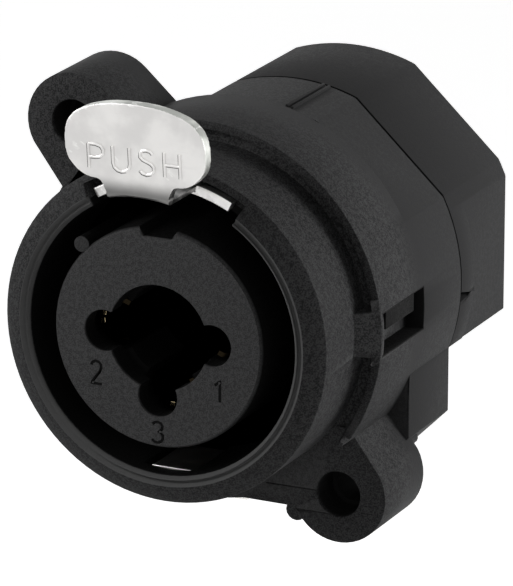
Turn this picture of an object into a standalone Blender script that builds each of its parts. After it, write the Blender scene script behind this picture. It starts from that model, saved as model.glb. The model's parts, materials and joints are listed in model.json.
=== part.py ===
"""Panel socket that takes a three-pole circular plug or a 6.35 mm jack plug, with a push latch.

Metres, +Z up. The socket faces -Y. The origin is on the connector axis, in the plane of the front
faces of the two screw ears, which is the plane that bears on the back of the panel.
"""

import math

import bmesh
import bpy
from mathutils import Vector

MM = 0.001
GAP = 0.3 * MM

# Stations along the axis, from the panel plane, front negative
RIM_Y = -6.3 * MM
MOUTH_Y = -7.3 * MM
INSERT_FACE_Y = -7.4 * MM
SHOULDER_Y = -2.0 * MM
GROOVE_Y = 0.05 * MM
EAR_DEPTH = 6.5 * MM
BORE_FLOOR_Y = 7.2 * MM
FLOOR_THICKNESS = 1.5 * MM
CHAMFER_Y = 5.9 * MM
PARTING_Y = 12.5 * MM
PARTING_GAP = 0.2 * MM
SIDE_FLAT_Y = PARTING_Y + 2.5 * MM
REAR_Y = 22.6 * MM

# Radii, each set out from the one inside it
INSERT_RADIUS = 7.65 * MM
PLUG_SPACE = 2.05 * MM
BORE_RADIUS = INSERT_RADIUS + PLUG_SPACE
MOUTH_LEAD = 0.45 * MM
MOUTH_RADIUS = BORE_RADIUS + MOUTH_LEAD
COLLAR_WALL = 2.1 * MM
COLLAR_RADIUS = BORE_RADIUS + COLLAR_WALL
SHOULDER_STEP = 1.6 * MM
BODY_RADIUS = COLLAR_RADIUS + SHOULDER_STEP
REAR_CAVITY_RADIUS = BORE_RADIUS + 0.8 * MM
CLEAR_RADIUS = BODY_RADIUS + 2.6 * MM
FAR = BODY_RADIUS + 6.6 * MM

# Front shell
SHOULDER_WALL = 0.35 * MM
SHOULDER_ROOT_WALL = 0.8 * MM
SHOULDER_START, SHOULDER_END = -35.0, 125.0
RAMP_START, RAMP_END = -6.35, 7.9
LEFT_REBATE_DEPTH, LEFT_REBATE_Y = 0.5 * MM, 1.7 * MM
SKIRT_HALF_WIDTH = BODY_RADIUS - 0.85 * MM
SKIRT_TOP_Z = -4.7 * MM
SKIRT_CORNER_CUT = 3.35 * MM
ROUND_STEPS = 96

# Crown and chamfers of both shells behind the ears, as (x, z) points
CROWN_CENTRE = (0.7 * MM, -0.17 * MM)
CROWN_RADIUS = BODY_RADIUS - 0.15 * MM
RIGHT_CHAMFER_START = 69.2
RIGHT_CHAMFER_SLOPE = 43.4
LEFT_CHAMFER_CUT = 1.32 * MM

# Screw ears
HOLE_ANGLE = -50.0
HOLE_OUT = 2.0 * MM
EAR_RADIUS = 3.45 * MM
HOLE_RADIUS = 1.6 * MM
PILOT_RADIUS = 1.25 * MM
PILOT_DEPTH = 2.6 * MM
EAR_WEB_X, EAR_WEB_Z = 2.82 * MM, -BODY_RADIUS + 0.3 * MM
POST_RADIUS = 0.75 * MM
POST_ASIDE, POST_BELOW = 3.25 * MM, 1.7 * MM

# Side windows with their snap tabs
WINDOW_TOP_Z, WINDOW_BOTTOM_Z = 1.5 * MM, -1.4 * MM
WINDOW_END_Y = 6.2 * MM
WINDOW_FLOOR_X = BODY_RADIUS - 1.45 * MM
TAB_SIDE_GAP = 1.0 * MM
TAB_BOTTOM_Z = 0.1 * MM
TAB_FACE_X = BODY_RADIUS - 0.35 * MM

# Rails on the crown
RAIL_ANGLES = (76.5, 74.7)
RAIL_WIDTH = 0.2 * MM
RAIL_HEIGHT = 0.18 * MM

# Latch
ARM_HALF_WIDTH = 2.3 * MM
ARM_INNER_RADIUS = BORE_RADIUS + 0.3 * MM
ARM_OUTER_RADIUS = ARM_INNER_RADIUS + 0.75 * MM
ARM_REAR_INNER_RADIUS = BORE_RADIUS + 0.1 * MM
ARM_REAR_OUTER_RADIUS = ARM_REAR_INNER_RADIUS + 0.65 * MM
ARM_FRONT_Y, ARM_END_Y = -10.4 * MM, 3.4 * MM
WING_ARC_RADIUS = 19.79 * MM
WING_ARC_Z = ARM_INNER_RADIUS + 0.12 * MM - WING_ARC_RADIUS
WING_HEIGHT = 0.65 * MM
WING_HALF_WIDTH = 5.15 * MM
WING_FRONT_Y, WING_BACK_Y = -6.2 * MM, -5.4 * MM
PIVOT_Y, PIVOT_Z = (WING_FRONT_Y + WING_BACK_Y) / 2, ARM_INNER_RADIUS + 0.2 * MM
PLATE_FRONT_Y = -10.7 * MM
PLATE_THICKNESS = 0.9 * MM
PLATE_LEAN = 0.1
PLATE_BOTTOM_Z = ARM_OUTER_RADIUS + 0.75 * MM
PLATE_LEAN_Z = PLATE_BOTTOM_Z + 1.5 * MM
PLATE_TOP_Z = PLATE_BOTTOM_Z + 5.55 * MM
PLATE_HALF_WIDTH = 5.13 * MM
NECK_HALF_WIDTH = 2.5 * MM
NECK_BOTTOM_Z = ARM_OUTER_RADIUS - 0.4 * MM
HOOK_TIP_RADIUS = BORE_RADIUS - 0.9 * MM
HOOK_START_Y, HOOK_END_Y = 0.6 * MM, 2.8 * MM
SLOT_END_Y = WING_BACK_Y + GAP
SLOT_RIGHT_GAP, SLOT_LEFT_GAP = 0.74 * MM, 0.54 * MM
SLOT_RADIUS = COLLAR_RADIUS - 0.45 * MM
CHANNEL_RADIUS = COLLAR_RADIUS - 0.33 * MM
CHANNEL_SIDE_GAP = 0.4 * MM
CHANNEL_ROOF_RADIUS = BODY_RADIUS - 1.0 * MM
CHANNEL_END_Y = PARTING_Y - 1.5 * MM
SPRING_THICKNESS = 0.25 * MM
SPRING_HALF_WIDTH = 1.4 * MM

# Contact insert
FLANGE_RADIUS = REAR_CAVITY_RADIUS - GAP
FLANGE_FRONT_Y = BORE_FLOOR_Y + FLOOR_THICKNESS + GAP
FLANGE_BACK_Y = PARTING_Y - GAP
JACK_MOUTH_RADIUS = 3.68 * MM
JACK_MOUTH_DEPTH = 2.0 * MM
JACK_BORE_RADIUS = 3.3 * MM
PIN_HOLE_RADIUS = 1.45 * MM
SIDE_PIN_X = 3.95 * MM
LOW_PIN_Z = -4.05 * MM
POCKET_RADIUS = 1.95 * MM
POCKET_START_Y, POCKET_END_Y = -5.9 * MM, 3.0 * MM
KEY_TOP_HALF_WIDTH, KEY_FLOOR_HALF_WIDTH = 1.5 * MM, 1.03 * MM
KEY_FLOOR_Z = INSERT_RADIUS - 0.71 * MM
NUB_RADIUS = 0.55 * MM
NUB_ANGLE, NUB_OUT = 134.5, 0.41 * MM

# Circular-plug contacts
CLIP_OUTER_RADIUS = 1.62 * MM
CLIP_INNER_RADIUS = 1.27 * MM
CLIP_HALF_ANGLE = 118.0
CLIP_START_Y, CLIP_END_Y = -4.9 * MM, 2.4 * MM
BLADE_THICKNESS = 0.4 * MM
BLADE_HALF_HEIGHT = 0.9 * MM
LUG_TOP_Z, LUG_BOTTOM_Z = -6.0 * MM, -8.3 * MM
LUG_END_Y = 18.6 * MM
LUG_EYE_RADIUS = 0.6 * MM

# Rear shell
REAR_WALL = 1.4 * MM
REAR_ROOF = 1.18 * MM
REAR_HALF_WIDTH = BODY_RADIUS - 1.0 * MM
REAR_RADIUS = BODY_RADIUS - 0.05 * MM
REAR_BOTTOM_Z = -4.75 * MM
TIP_HOLE_RADIUS = 3.5 * MM

# Jack carrier and its springs
CARRIER_FRONT_Y = FLANGE_BACK_Y + GAP
CARRIER_BACK_Y = REAR_Y - REAR_WALL - GAP
CARRIER_HALF_WIDTH = 8.0 * MM
CARRIER_TOP_Z = 6.2 * MM
CARRIER_BOTTOM_Z = REAR_BOTTOM_Z + REAR_WALL + GAP
CARRIER_FRONT_WALL = 1.4 * MM
CARRIER_UNDER_SLOT = 2.1 * MM
JACK_SPRING_THICKNESS = 0.3 * MM
JACK_SPRING_HALF_WIDTH = 1.5 * MM
SIDE_SPRING_X = 5.6 * MM
TOP_SPRING_Z = 8.2 * MM
JACK_LUG_END_Y = REAR_Y + 4.0 * MM
JACK_NOSE = 2.5 * MM
TIP_BENDS = ((15.2 * MM, SIDE_SPRING_X), (15.2 * MM, 3.7 * MM), (19.9 * MM, JACK_NOSE), (20.8 * MM, 3.3 * MM))
RING_BENDS = ((18.4 * MM, -SIDE_SPRING_X), (16.8 * MM, -3.6 * MM), (15.6 * MM, -JACK_NOSE), (14.5 * MM, -3.5 * MM))
SLEEVE_BENDS = ((13.2 * MM, TOP_SPRING_Z), (12.0 * MM, 6.2 * MM), (10.6 * MM, 2.75 * MM), (9.7 * MM, 3.6 * MM))

# Ground spring
GROUND_HALF_WIDTH = 1.64 * MM
GROUND_THICKNESS = 0.3 * MM
GROUND_Z = -BORE_RADIUS - 0.35 * MM
GROUND_START_Y, GROUND_END_Y = -5.2 * MM, 6.6 * MM
FINGER_LOW_X, FINGER_HIGH_X = 2.0 * MM, 2.9 * MM
FINGER_Y = 0.6 * MM
FINGER_TIP_Z = -BODY_RADIUS


def clear_scene():
    for thing in list(bpy.data.objects):
        bpy.data.objects.remove(thing, do_unlink=True)


def make_collection(name):
    collection = bpy.data.collections.new(name)
    bpy.context.scene.collection.children.link(collection)
    return collection


def make_material(name, colour, roughness, metallic=0.0):
    material = bpy.data.materials.new(name)
    material.use_nodes = True
    shader = material.node_tree.nodes["Principled BSDF"]
    shader.inputs["Base Color"].default_value = (*colour, 1.0)
    shader.inputs["Roughness"].default_value = roughness
    shader.inputs["Metallic"].default_value = metallic
    return material


def on_circle(radius, degrees, centre=(0.0, 0.0)):
    angle = math.radians(degrees)
    return centre[0] + radius * math.cos(angle), centre[1] + radius * math.sin(angle)


def arc(radius, start, end, steps, centre=(0.0, 0.0)):
    return [on_circle(radius, start + (end - start) * i / steps, centre) for i in range(steps + 1)]


def sector(inner, outer, start, end, steps):
    """An outline between two radii and two angles, in degrees."""
    return arc(outer, start, end, steps) + arc(inner, end, start, steps)


def rounded_path(points, radius, steps=3):
    """The open path with each inner corner replaced by a short curve of about this radius."""
    corners = [Vector(point) for point in points]
    path = [corners[0]]
    for before, corner, after in zip(corners, corners[1:], corners[2:]):
        entry = corner + (before - corner).normalized() * min(radius, (before - corner).length * 0.45)
        leave = corner + (after - corner).normalized() * min(radius, (after - corner).length * 0.45)
        for i in range(steps + 1):
            t = i / steps
            path.append(entry * (1 - t) ** 2 + corner * 2 * t * (1 - t) + leave * t * t)
    path.append(corners[-1])
    return path


def add_mesh(name, mesh, collection, material=None):
    made = bpy.data.objects.new(name, mesh)
    collection.objects.link(made)
    if material:
        mesh.materials.append(material)
    return made


def filled_outline(name, outline, collection):
    """The mesh of a filled 2D curve, two units thick."""
    curve = bpy.data.curves.new(name + "_outline", "CURVE")
    curve.dimensions = "2D"
    curve.fill_mode = "BOTH"
    curve.extrude = 1.0
    spline = curve.splines.new("POLY")
    spline.points.add(len(outline) - 1)
    for point, (u, v) in zip(spline.points, outline):
        point.co = (u, v, 0.0, 1.0)
    spline.use_cyclic_u = True
    guide = bpy.data.objects.new(name + "_outline", curve)
    collection.objects.link(guide)
    graph = bpy.context.evaluated_depsgraph_get()
    mesh = bpy.data.meshes.new_from_object(guide.evaluated_get(graph))
    bpy.data.objects.remove(guide, do_unlink=True)
    close_up(mesh)
    return mesh


def close_up(mesh):
    """Welds the loose caps and turns every face outwards."""
    work = bmesh.new()
    work.from_mesh(mesh)
    bmesh.ops.remove_doubles(work, verts=work.verts, dist=1e-7)
    bmesh.ops.recalc_face_normals(work, faces=work.faces)
    work.to_mesh(mesh)
    work.free()


def plate_across(name, outline, front, back, collection, material=None):
    """A flat outline of (x, z) points, filled and extruded from y = front to y = back."""
    mesh = filled_outline(name, outline, collection)
    for corner in mesh.vertices:
        u, v, w = corner.co
        corner.co = (u, front if w > 0.0 else back, v)
    return add_mesh(name, mesh, collection, material)


def plate_along(name, outline, left, right, collection, material=None):
    """A flat outline of (y, z) points, filled and extruded from x = left to x = right."""
    mesh = filled_outline(name, outline, collection)
    for corner in mesh.vertices:
        u, v, w = corner.co
        corner.co = (right if w > 0.0 else left, u, v)
    return add_mesh(name, mesh, collection, material)


def turned(name, profile, collection, material=None, steps=ROUND_STEPS):
    """A (radius, y) section turned about the Y axis, listed down its outer side from the front.

    It is closed back to its first point, unless it starts and ends on the axis.
    """
    mesh = bpy.data.meshes.new(name)
    points = [(radius, y, 0.0) for radius, y in reversed(profile)]
    edges = [(i, i + 1) for i in range(len(points) - 1)]
    if profile[0][0] > 0.0:
        edges.append((len(points) - 1, 0))
    mesh.from_pydata(points, edges, [])
    made = add_mesh(name, mesh, collection, material)
    screw = made.modifiers.new("turn", "SCREW")
    screw.axis = "Y"
    screw.steps = steps
    screw.render_steps = steps
    screw.use_merge_vertices = True
    screw.merge_threshold = 1e-7
    return made


def rod(name, radius, front, back, centre, collection, steps=32):
    """A cylinder along Y, centred at (x, z)."""
    mesh = bpy.data.meshes.new(name)
    work = bmesh.new()
    bmesh.ops.create_cone(work, cap_ends=True, segments=steps, radius1=radius, radius2=radius,
                          depth=2.0)
    for corner in work.verts:
        u, v, w = corner.co
        corner.co = (centre[0] + u, front if w > 0.0 else back, centre[1] + v)
    work.to_mesh(mesh)
    work.free()
    return add_mesh(name, mesh, collection)


def block(name, low, high, collection):
    """A box between two corners, given in any order."""
    mesh = bpy.data.meshes.new(name)
    work = bmesh.new()
    bmesh.ops.create_cube(work, size=1.0)
    for corner in work.verts:
        corner.co = [max(a, b) if side > 0.0 else min(a, b)
                     for side, a, b in zip(corner.co, low, high)]
    work.to_mesh(mesh)
    work.free()
    return add_mesh(name, mesh, collection)


def bent_strip(name, path, half_width, thickness, plane, collection, material):
    """A strip of sheet along a path of (y, u) points, in plane YZ with u = z or in YX with u = x."""
    mesh = bpy.data.meshes.new(name)
    corners = []
    for y, u in path:
        for across in (-half_width, half_width):
            corners.append((across, y, u) if plane == "YZ" else (u, y, across))
    faces = [(2 * i, 2 * i + 1, 2 * i + 3, 2 * i + 2) for i in range(len(path) - 1)]
    mesh.from_pydata(corners, [], faces)
    made = add_mesh(name, mesh, collection, material)
    solid = made.modifiers.new("sheet", "SOLIDIFY")
    solid.thickness = thickness
    solid.offset = 0.0
    solid.use_even_offset = True
    return made


def combine(target, tool, operation):
    """Adds the tool to the target, or cuts it away, by an exact Boolean."""
    tool.hide_render = True
    tool.display_type = "WIRE"
    step = target.modifiers.new(tool.name, "BOOLEAN")
    step.operation = operation
    step.solver = "EXACT"
    step.object = tool


def join(target, tool):
    combine(target, tool, "UNION")


def cut(target, tool):
    combine(target, tool, "DIFFERENCE")


def smooth(made, degrees=40.0):
    made.data.shade_smooth()
    made.data.set_sharp_from_angle(angle=math.radians(degrees))


def front_shell(parts, tools, material):
    past_parting = PARTING_Y + 0.5 * MM
    shell = turned("front_shell", [
        (0.0, MOUTH_Y),
        (MOUTH_RADIUS, MOUTH_Y),
        (COLLAR_RADIUS, RIM_Y),
        (COLLAR_RADIUS, GROOVE_Y),
        (BODY_RADIUS - SHOULDER_ROOT_WALL, GROOVE_Y),
        (BODY_RADIUS - SHOULDER_WALL, SHOULDER_Y),
        (BODY_RADIUS, SHOULDER_Y),
        (BODY_RADIUS, past_parting),
        (0.0, past_parting),
    ], parts, material)
    groove_middle = (COLLAR_RADIUS + BODY_RADIUS - SHOULDER_ROOT_WALL) / 2
    cut(shell, plate_across("shoulder_gap", sector(
        groove_middle, CLEAR_RADIUS, SHOULDER_END, SHOULDER_START + 360.0, 30),
        SHOULDER_Y - 1.0 * MM, 0.0, tools))
    add_ramp(shell, tools)
    cut(shell, plate_across("left_rebate", sector(
        BODY_RADIUS - LEFT_REBATE_DEPTH, CLEAR_RADIUS, 143.0, 215.0, 16), -1.0 * MM, LEFT_REBATE_Y, tools))
    add_skirt(shell, tools)
    cut(shell, crown_cutter("front_crown", CHAMFER_Y, PARTING_Y + 2.0 * MM, tools))
    add_post(shell, tools)
    for side in (1, -1):
        add_ear(shell, side, tools)
        cut_window(shell, side, tools)
    add_rails(shell, tools)
    cut(shell, block("parting_cut", (-FAR, PARTING_Y, -FAR), (FAR, PARTING_Y + 4.0 * MM, FAR), tools))
    cut_bore(shell, tools)
    cut_latch_way(shell, tools)
    cut_ground_way(shell, tools)
    smooth(shell)
    return shell


def cut_bore(shell, tools):
    """The bore with its lead-in, the hole in its floor and the cavity behind."""
    hole_radius = INSERT_RADIUS + GAP
    floor_back = BORE_FLOOR_Y + FLOOR_THICKNESS
    lead = 0.45 * MM
    cut(shell, turned("bore", [
        (0.0, MOUTH_Y - 1.0 * MM),
        (MOUTH_RADIUS + 1.06 * MM, MOUTH_Y - 1.0 * MM),
        (MOUTH_RADIUS + 0.06 * MM - lead, MOUTH_Y + lead),
        (BORE_RADIUS, BORE_FLOOR_Y),
        (hole_radius, BORE_FLOOR_Y),
        (hole_radius, floor_back),
        (REAR_CAVITY_RADIUS, floor_back),
        (REAR_CAVITY_RADIUS, PARTING_Y + 2.0 * MM),
        (0.0, PARTING_Y + 2.0 * MM),
    ], tools))


def add_ramp(shell, tools):
    """The ramp that bridges the groove between collar and shoulder on the right."""
    outer = BODY_RADIUS - 0.04 * MM
    ramp = turned("ramp", [
        (outer, SHOULDER_Y + 0.3 * MM),
        (outer, 0.6 * MM),
        (COLLAR_RADIUS - 0.4 * MM, 0.6 * MM),
        (COLLAR_RADIUS - 0.4 * MM, SHOULDER_Y - 1.9 * MM),
    ], tools)
    combine(ramp, plate_across("ramp_sector", sector(
        COLLAR_RADIUS - 0.8 * MM, CLEAR_RADIUS, RAMP_START, RAMP_END, 6),
        SHOULDER_Y - 4.0 * MM, 2.0 * MM, tools), "INTERSECT")
    join(shell, ramp)


def add_skirt(shell, tools):
    """The square lower half of the body behind the ears."""
    side = SKIRT_HALF_WIDTH
    corner = side - SKIRT_CORNER_CUT
    outline = [(-side, SKIRT_TOP_Z), (-side, -corner), (-corner, -side), (corner, -side),
               (side, -corner), (side, SKIRT_TOP_Z)]
    join(shell, plate_across("skirt", outline, EAR_DEPTH - 0.8 * MM, PARTING_Y + 0.8 * MM, tools))
    join(shell, rod("corner_nub", 0.45 * MM, EAR_DEPTH - 0.5 * MM, 7.7 * MM,
                    (side - 0.6 * MM, -corner - 0.55 * MM), tools, 12))


def hole_centre(side):
    """A screw hole's centre, at the lower right for side 1 and at the upper left for side -1."""
    x, z = on_circle(BODY_RADIUS + HOLE_OUT, HOLE_ANGLE)
    return side * x, side * z


def add_ear(shell, side, tools):
    """One screw ear, with its pilot hole."""
    centre = hole_centre(side)
    root = COLLAR_RADIUS - 0.5 * MM
    if side > 0:
        outline = arc(EAR_RADIUS, 29.0, -157.0, 24, centre) + [(EAR_WEB_X, EAR_WEB_Z)]
        outline += arc(root, -80.0, -38.0, 8)
    else:
        outline = arc(EAR_RADIUS, 209.0, 46.6, 20, centre) + [on_circle(BODY_RADIUS, 113.4)]
        outline += arc(root, 114.0, 142.0, 6)
    x, z = on_circle(BODY_RADIUS - 0.72 * MM, -33.25)
    outline.append((side * x, side * z))
    join(shell, plate_across(f"ear_{side}", outline, 0.0, EAR_DEPTH, tools))
    cut(shell, rod(f"hole_{side}", HOLE_RADIUS, -1.0 * MM, PILOT_DEPTH, centre, tools))
    cut(shell, rod(f"pilot_{side}", PILOT_RADIUS, PILOT_DEPTH - 0.5 * MM, EAR_DEPTH + 1.0 * MM,
                   centre, tools, 24))


def add_post(shell, tools):
    """The round post beside the lower ear."""
    x, z = hole_centre(1)
    join(shell, rod("post", POST_RADIUS, 0.25 * MM, EAR_DEPTH - 0.25 * MM,
                    (x - POST_ASIDE, z - POST_BELOW), tools, 16))


def cut_window(shell, side, tools):
    """A snap window in one side wall, with its tab left standing inside."""
    outer = BODY_RADIUS + 1.0 * MM
    start = -0.5 * MM if side > 0 else 2.2 * MM
    cut(shell, block(f"window_{side}", (side * WINDOW_FLOOR_X, start, WINDOW_BOTTOM_Z),
                     (side * outer, WINDOW_END_Y, WINDOW_TOP_Z), tools))
    root = WINDOW_FLOOR_X - 0.4 * MM
    join(shell, block(f"tab_{side}", (side * root, start + TAB_SIDE_GAP, TAB_BOTTOM_Z),
                      (side * TAB_FACE_X, WINDOW_END_Y - TAB_SIDE_GAP, WINDOW_TOP_Z + 0.3 * MM), tools))


def add_rails(shell, tools):
    for angle in RAIL_ANGLES:
        rail = block(f"rail_{angle:.0f}", (-RAIL_WIDTH / 2, CHAMFER_Y + 0.3 * MM, CROWN_RADIUS - 0.35 * MM),
                     (RAIL_WIDTH / 2, PARTING_Y - 0.2 * MM, CROWN_RADIUS + RAIL_HEIGHT), tools)
        rail.rotation_euler = (0.0, math.radians(90.0 - angle), 0.0)
        join(shell, rail)


def crown_edge(steps=14):
    """The crown's section from the right chamfer, over the top, to the left chamfer."""
    left = 135.0 - math.degrees(math.acos(1.0 - LEFT_CHAMFER_CUT / CROWN_RADIUS))
    return arc(CROWN_RADIUS, RIGHT_CHAMFER_START, left, steps, CROWN_CENTRE)


def chamfer_z(x):
    """The height of the right or left chamfer at this x."""
    if x < 0.0:
        edge_x, edge_z = crown_edge()[-1]
        return edge_z + x - edge_x
    edge_x, edge_z = crown_edge()[0]
    return edge_z - (x - edge_x) * math.tan(math.radians(RIGHT_CHAMFER_SLOPE))


def crown_cutter(name, front, back, tools):
    """All that lies outside the crown and the two chamfers."""
    outline = [(FAR, chamfer_z(FAR))] + crown_edge() + [(-FAR, chamfer_z(-FAR)), (-FAR, FAR), (FAR, FAR)]
    return plate_across(name, outline, front, back, tools)


def cut_latch_way(shell, tools):
    """The rim slot for the latch's wings and the channel for its arm."""
    floor = BORE_RADIUS - 1.2 * MM
    wing_end_z = WING_ARC_Z + math.sqrt(WING_ARC_RADIUS ** 2 - WING_HALF_WIDTH ** 2)
    right = math.degrees(math.atan2(wing_end_z, WING_HALF_WIDTH + SLOT_RIGHT_GAP))
    left = 180.0 - math.degrees(math.atan2(wing_end_z, WING_HALF_WIDTH + SLOT_LEFT_GAP))
    cut(shell, plate_across("wing_slot", sector(
        floor, SLOT_RADIUS, right, left, 16), MOUTH_Y - 1.0 * MM, SLOT_END_Y, tools))
    half = ARM_HALF_WIDTH + CHANNEL_SIDE_GAP
    cut(shell, plate_across("arm_channel", channel_outline(half, CHANNEL_RADIUS, floor - 0.3 * MM),
                            MOUTH_Y - 1.3 * MM, 0.5 * MM, tools))
    cut(shell, plate_across("spring_channel", channel_outline(half + 0.05 * MM, CHANNEL_ROOF_RADIUS, floor),
                            0.2 * MM, BORE_FLOOR_Y - 0.2 * MM, tools))
    cut(shell, plate_across("spring_pocket", channel_outline(
        SPRING_HALF_WIDTH + GAP, CHANNEL_ROOF_RADIUS - 0.05 * MM, CHANNEL_ROOF_RADIUS - 1.1 * MM),
        BORE_FLOOR_Y - 0.5 * MM, CHANNEL_END_Y, tools))


def channel_outline(half_width, roof_radius, floor):
    spread = math.degrees(math.asin(half_width / roof_radius))
    return [(half_width, floor)] + arc(roof_radius, 90.0 - spread, 90.0 + spread, 6) + [
        (-half_width, floor)]


def cut_ground_way(shell, tools):
    """The groove under the bore for the ground spring and the slit for its panel finger."""
    side = GROUND_HALF_WIDTH + GAP
    under = GROUND_Z - GROUND_THICKNESS / 2 - GAP
    cut(shell, block("ground_groove", (-side, GROUND_START_Y - GAP, under),
                     (side, BORE_FLOOR_Y - 0.1 * MM, -BORE_RADIUS + 1.0 * MM), tools))
    half = GROUND_THICKNESS / 2 + GAP
    cut(shell, plate_across("finger_slit", finger_outline(GAP, 2.0 * MM), FINGER_Y - half,
                            FINGER_Y + half, tools))


def finger_outline(margin, past):
    """The finger's outline in its own plane, from the strip sideways and down past the wall."""
    top = GROUND_Z + 0.1 * MM + margin
    return [(1.1 * MM, top), (FINGER_HIGH_X + margin, top), (FINGER_HIGH_X + margin, FINGER_TIP_Z - past),
            (FINGER_LOW_X - margin, FINGER_TIP_Z - past), (FINGER_LOW_X - margin, GROUND_Z - 0.6 * MM),
            (1.1 * MM, GROUND_Z - 0.1 * MM - margin)]


def rear_shell(parts, tools, material):
    front = PARTING_Y + PARTING_GAP
    side = BODY_RADIUS + 0.3 * MM
    outline = [(side, REAR_BOTTOM_Z), (side, chamfer_z(side))] + crown_edge() + [
        (-side, chamfer_z(-side)), (-side, REAR_BOTTOM_Z)]
    shell = plate_across("rear_shell", outline, front, REAR_Y, parts, material)
    combine(shell, rod("rear_round", REAR_RADIUS, front - 1.0 * MM, REAR_Y + 1.0 * MM,
                       (0.0, 0.0), tools, ROUND_STEPS), "INTERSECT")
    for side in (1, -1):
        cut(shell, block(f"side_flat_{side}", (side * REAR_HALF_WIDTH, SIDE_FLAT_Y, -8.0 * MM),
                         (side * CLEAR_RADIUS, REAR_Y + 1.0 * MM, 12.0 * MM), tools))
    wall = REAR_HALF_WIDTH - REAR_WALL
    top = CROWN_CENTRE[1] + CROWN_RADIUS - REAR_ROOF
    drop = REAR_WALL * math.sqrt(2.0)
    right_sum = sum(crown_edge()[0]) - drop
    left_sum = chamfer_z(-wall) + wall - drop
    hollow_outline = [(wall, REAR_BOTTOM_Z + REAR_WALL), (wall, right_sum - wall), (right_sum - top, top),
                      (top - left_sum, top), (-wall, left_sum - wall), (-wall, REAR_BOTTOM_Z + REAR_WALL)]
    hollow = plate_across("rear_hollow", hollow_outline, front - 1.0 * MM, REAR_Y - REAR_WALL, tools)
    combine(hollow, rod("hollow_round", REAR_RADIUS - REAR_WALL, front - 2.0 * MM, REAR_Y + 1.0 * MM,
                        (0.0, 0.0), tools, ROUND_STEPS), "INTERSECT")
    cut(shell, hollow)
    cut(shell, rod("tip_hole", TIP_HOLE_RADIUS, REAR_Y - REAR_WALL - 1.0 * MM, REAR_Y + 1.0 * MM,
                   (0.0, 0.0), tools))
    cut_lug_slots(shell, tools)
    cut(shell, plate_along("snap_notch", [
        (front - 1.0 * MM, -0.6 * MM), (front, -0.68 * MM), (front + 2.05 * MM, -1.2 * MM),
        (front, -1.42 * MM), (front - 1.0 * MM, -1.5 * MM)],
        REAR_HALF_WIDTH - 0.3 * MM, CLEAR_RADIUS, tools))
    smooth(shell)
    return shell


def cut_lug_slots(shell, tools):
    """Slots in the back wall for the three jack lugs."""
    thin = JACK_SPRING_THICKNESS / 2 + GAP
    wide = JACK_SPRING_HALF_WIDTH + GAP
    front, back = REAR_Y - REAR_WALL - 1.0 * MM, REAR_Y + 1.0 * MM
    for name, x, z, half_x, half_z in (("tip_slot", SIDE_SPRING_X, 0.0, thin, wide),
                                       ("ring_slot", -SIDE_SPRING_X, 0.0, thin, wide),
                                       ("sleeve_slot", 0.0, TOP_SPRING_Z, wide, thin)):
        cut(shell, block(name, (x - half_x, front, z - half_z), (x + half_x, back, z + half_z), tools))


def contact_insert(parts, tools, material):
    insert = turned("contact_insert", [
        (INSERT_RADIUS - 0.2 * MM, INSERT_FACE_Y),
        (INSERT_RADIUS, INSERT_FACE_Y + 0.2 * MM),
        (INSERT_RADIUS, FLANGE_FRONT_Y),
        (FLANGE_RADIUS, FLANGE_FRONT_Y),
        (FLANGE_RADIUS, FLANGE_BACK_Y),
        (JACK_BORE_RADIUS, FLANGE_BACK_Y),
        (JACK_BORE_RADIUS, INSERT_FACE_Y + JACK_MOUTH_DEPTH),
        (JACK_MOUTH_RADIUS, INSERT_FACE_Y + JACK_MOUTH_DEPTH),
        (JACK_MOUTH_RADIUS, INSERT_FACE_Y),
    ], parts, material, 64)
    join(insert, rod("nub", NUB_RADIUS, INSERT_FACE_Y + 0.1 * MM, BORE_FLOOR_Y - GAP,
                     on_circle(INSERT_RADIUS + NUB_OUT, NUB_ANGLE), tools, 16))
    key_top = INSERT_RADIUS + 1.0 * MM
    cut(insert, plate_across("key_way", [
        (-KEY_FLOOR_HALF_WIDTH, KEY_FLOOR_Z), (KEY_FLOOR_HALF_WIDTH, KEY_FLOOR_Z),
        (KEY_TOP_HALF_WIDTH, INSERT_RADIUS), (KEY_TOP_HALF_WIDTH, key_top),
        (-KEY_TOP_HALF_WIDTH, key_top), (-KEY_TOP_HALF_WIDTH, INSERT_RADIUS)],
        INSERT_FACE_Y - 1.0 * MM, BORE_FLOOR_Y - 1.0 * MM, tools))
    for name, centre in pin_centres():
        cut(insert, rod(f"pin_hole_{name}", PIN_HOLE_RADIUS, INSERT_FACE_Y - 1.0 * MM,
                        POCKET_START_Y + 0.5 * MM, centre, tools, 28))
        cut(insert, rod(f"pocket_{name}", POCKET_RADIUS, POCKET_START_Y, POCKET_END_Y,
                        centre, tools, 28))
        cut_blade_slit(insert, name, centre, tools)
    cut(insert, block("sleeve_slot", (-JACK_SPRING_HALF_WIDTH - GAP, FLANGE_FRONT_Y - 0.2 * MM, 1.0 * MM),
                      (JACK_SPRING_HALF_WIDTH + GAP, FLANGE_BACK_Y + 1.0 * MM,
                       FLANGE_RADIUS - 0.9 * MM), tools))
    smooth(insert)
    return insert


def pin_centres():
    return (("1", (SIDE_PIN_X, 0.0)), ("2", (-SIDE_PIN_X, 0.0)), ("3", (0.0, LOW_PIN_Z)))


def blade_place(name, centre):
    """The blade's plane x and its upper and lower edge where it leaves the clip."""
    reach = CLIP_OUTER_RADIUS - 0.22 * MM
    if name == "3":
        return 0.0, centre[1] - reach, centre[1] - reach - 1.1 * MM
    side = 1.0 if centre[0] > 0 else -1.0
    return centre[0] + side * (reach + BLADE_THICKNESS / 2), BLADE_HALF_HEIGHT, -BLADE_HALF_HEIGHT


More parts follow.
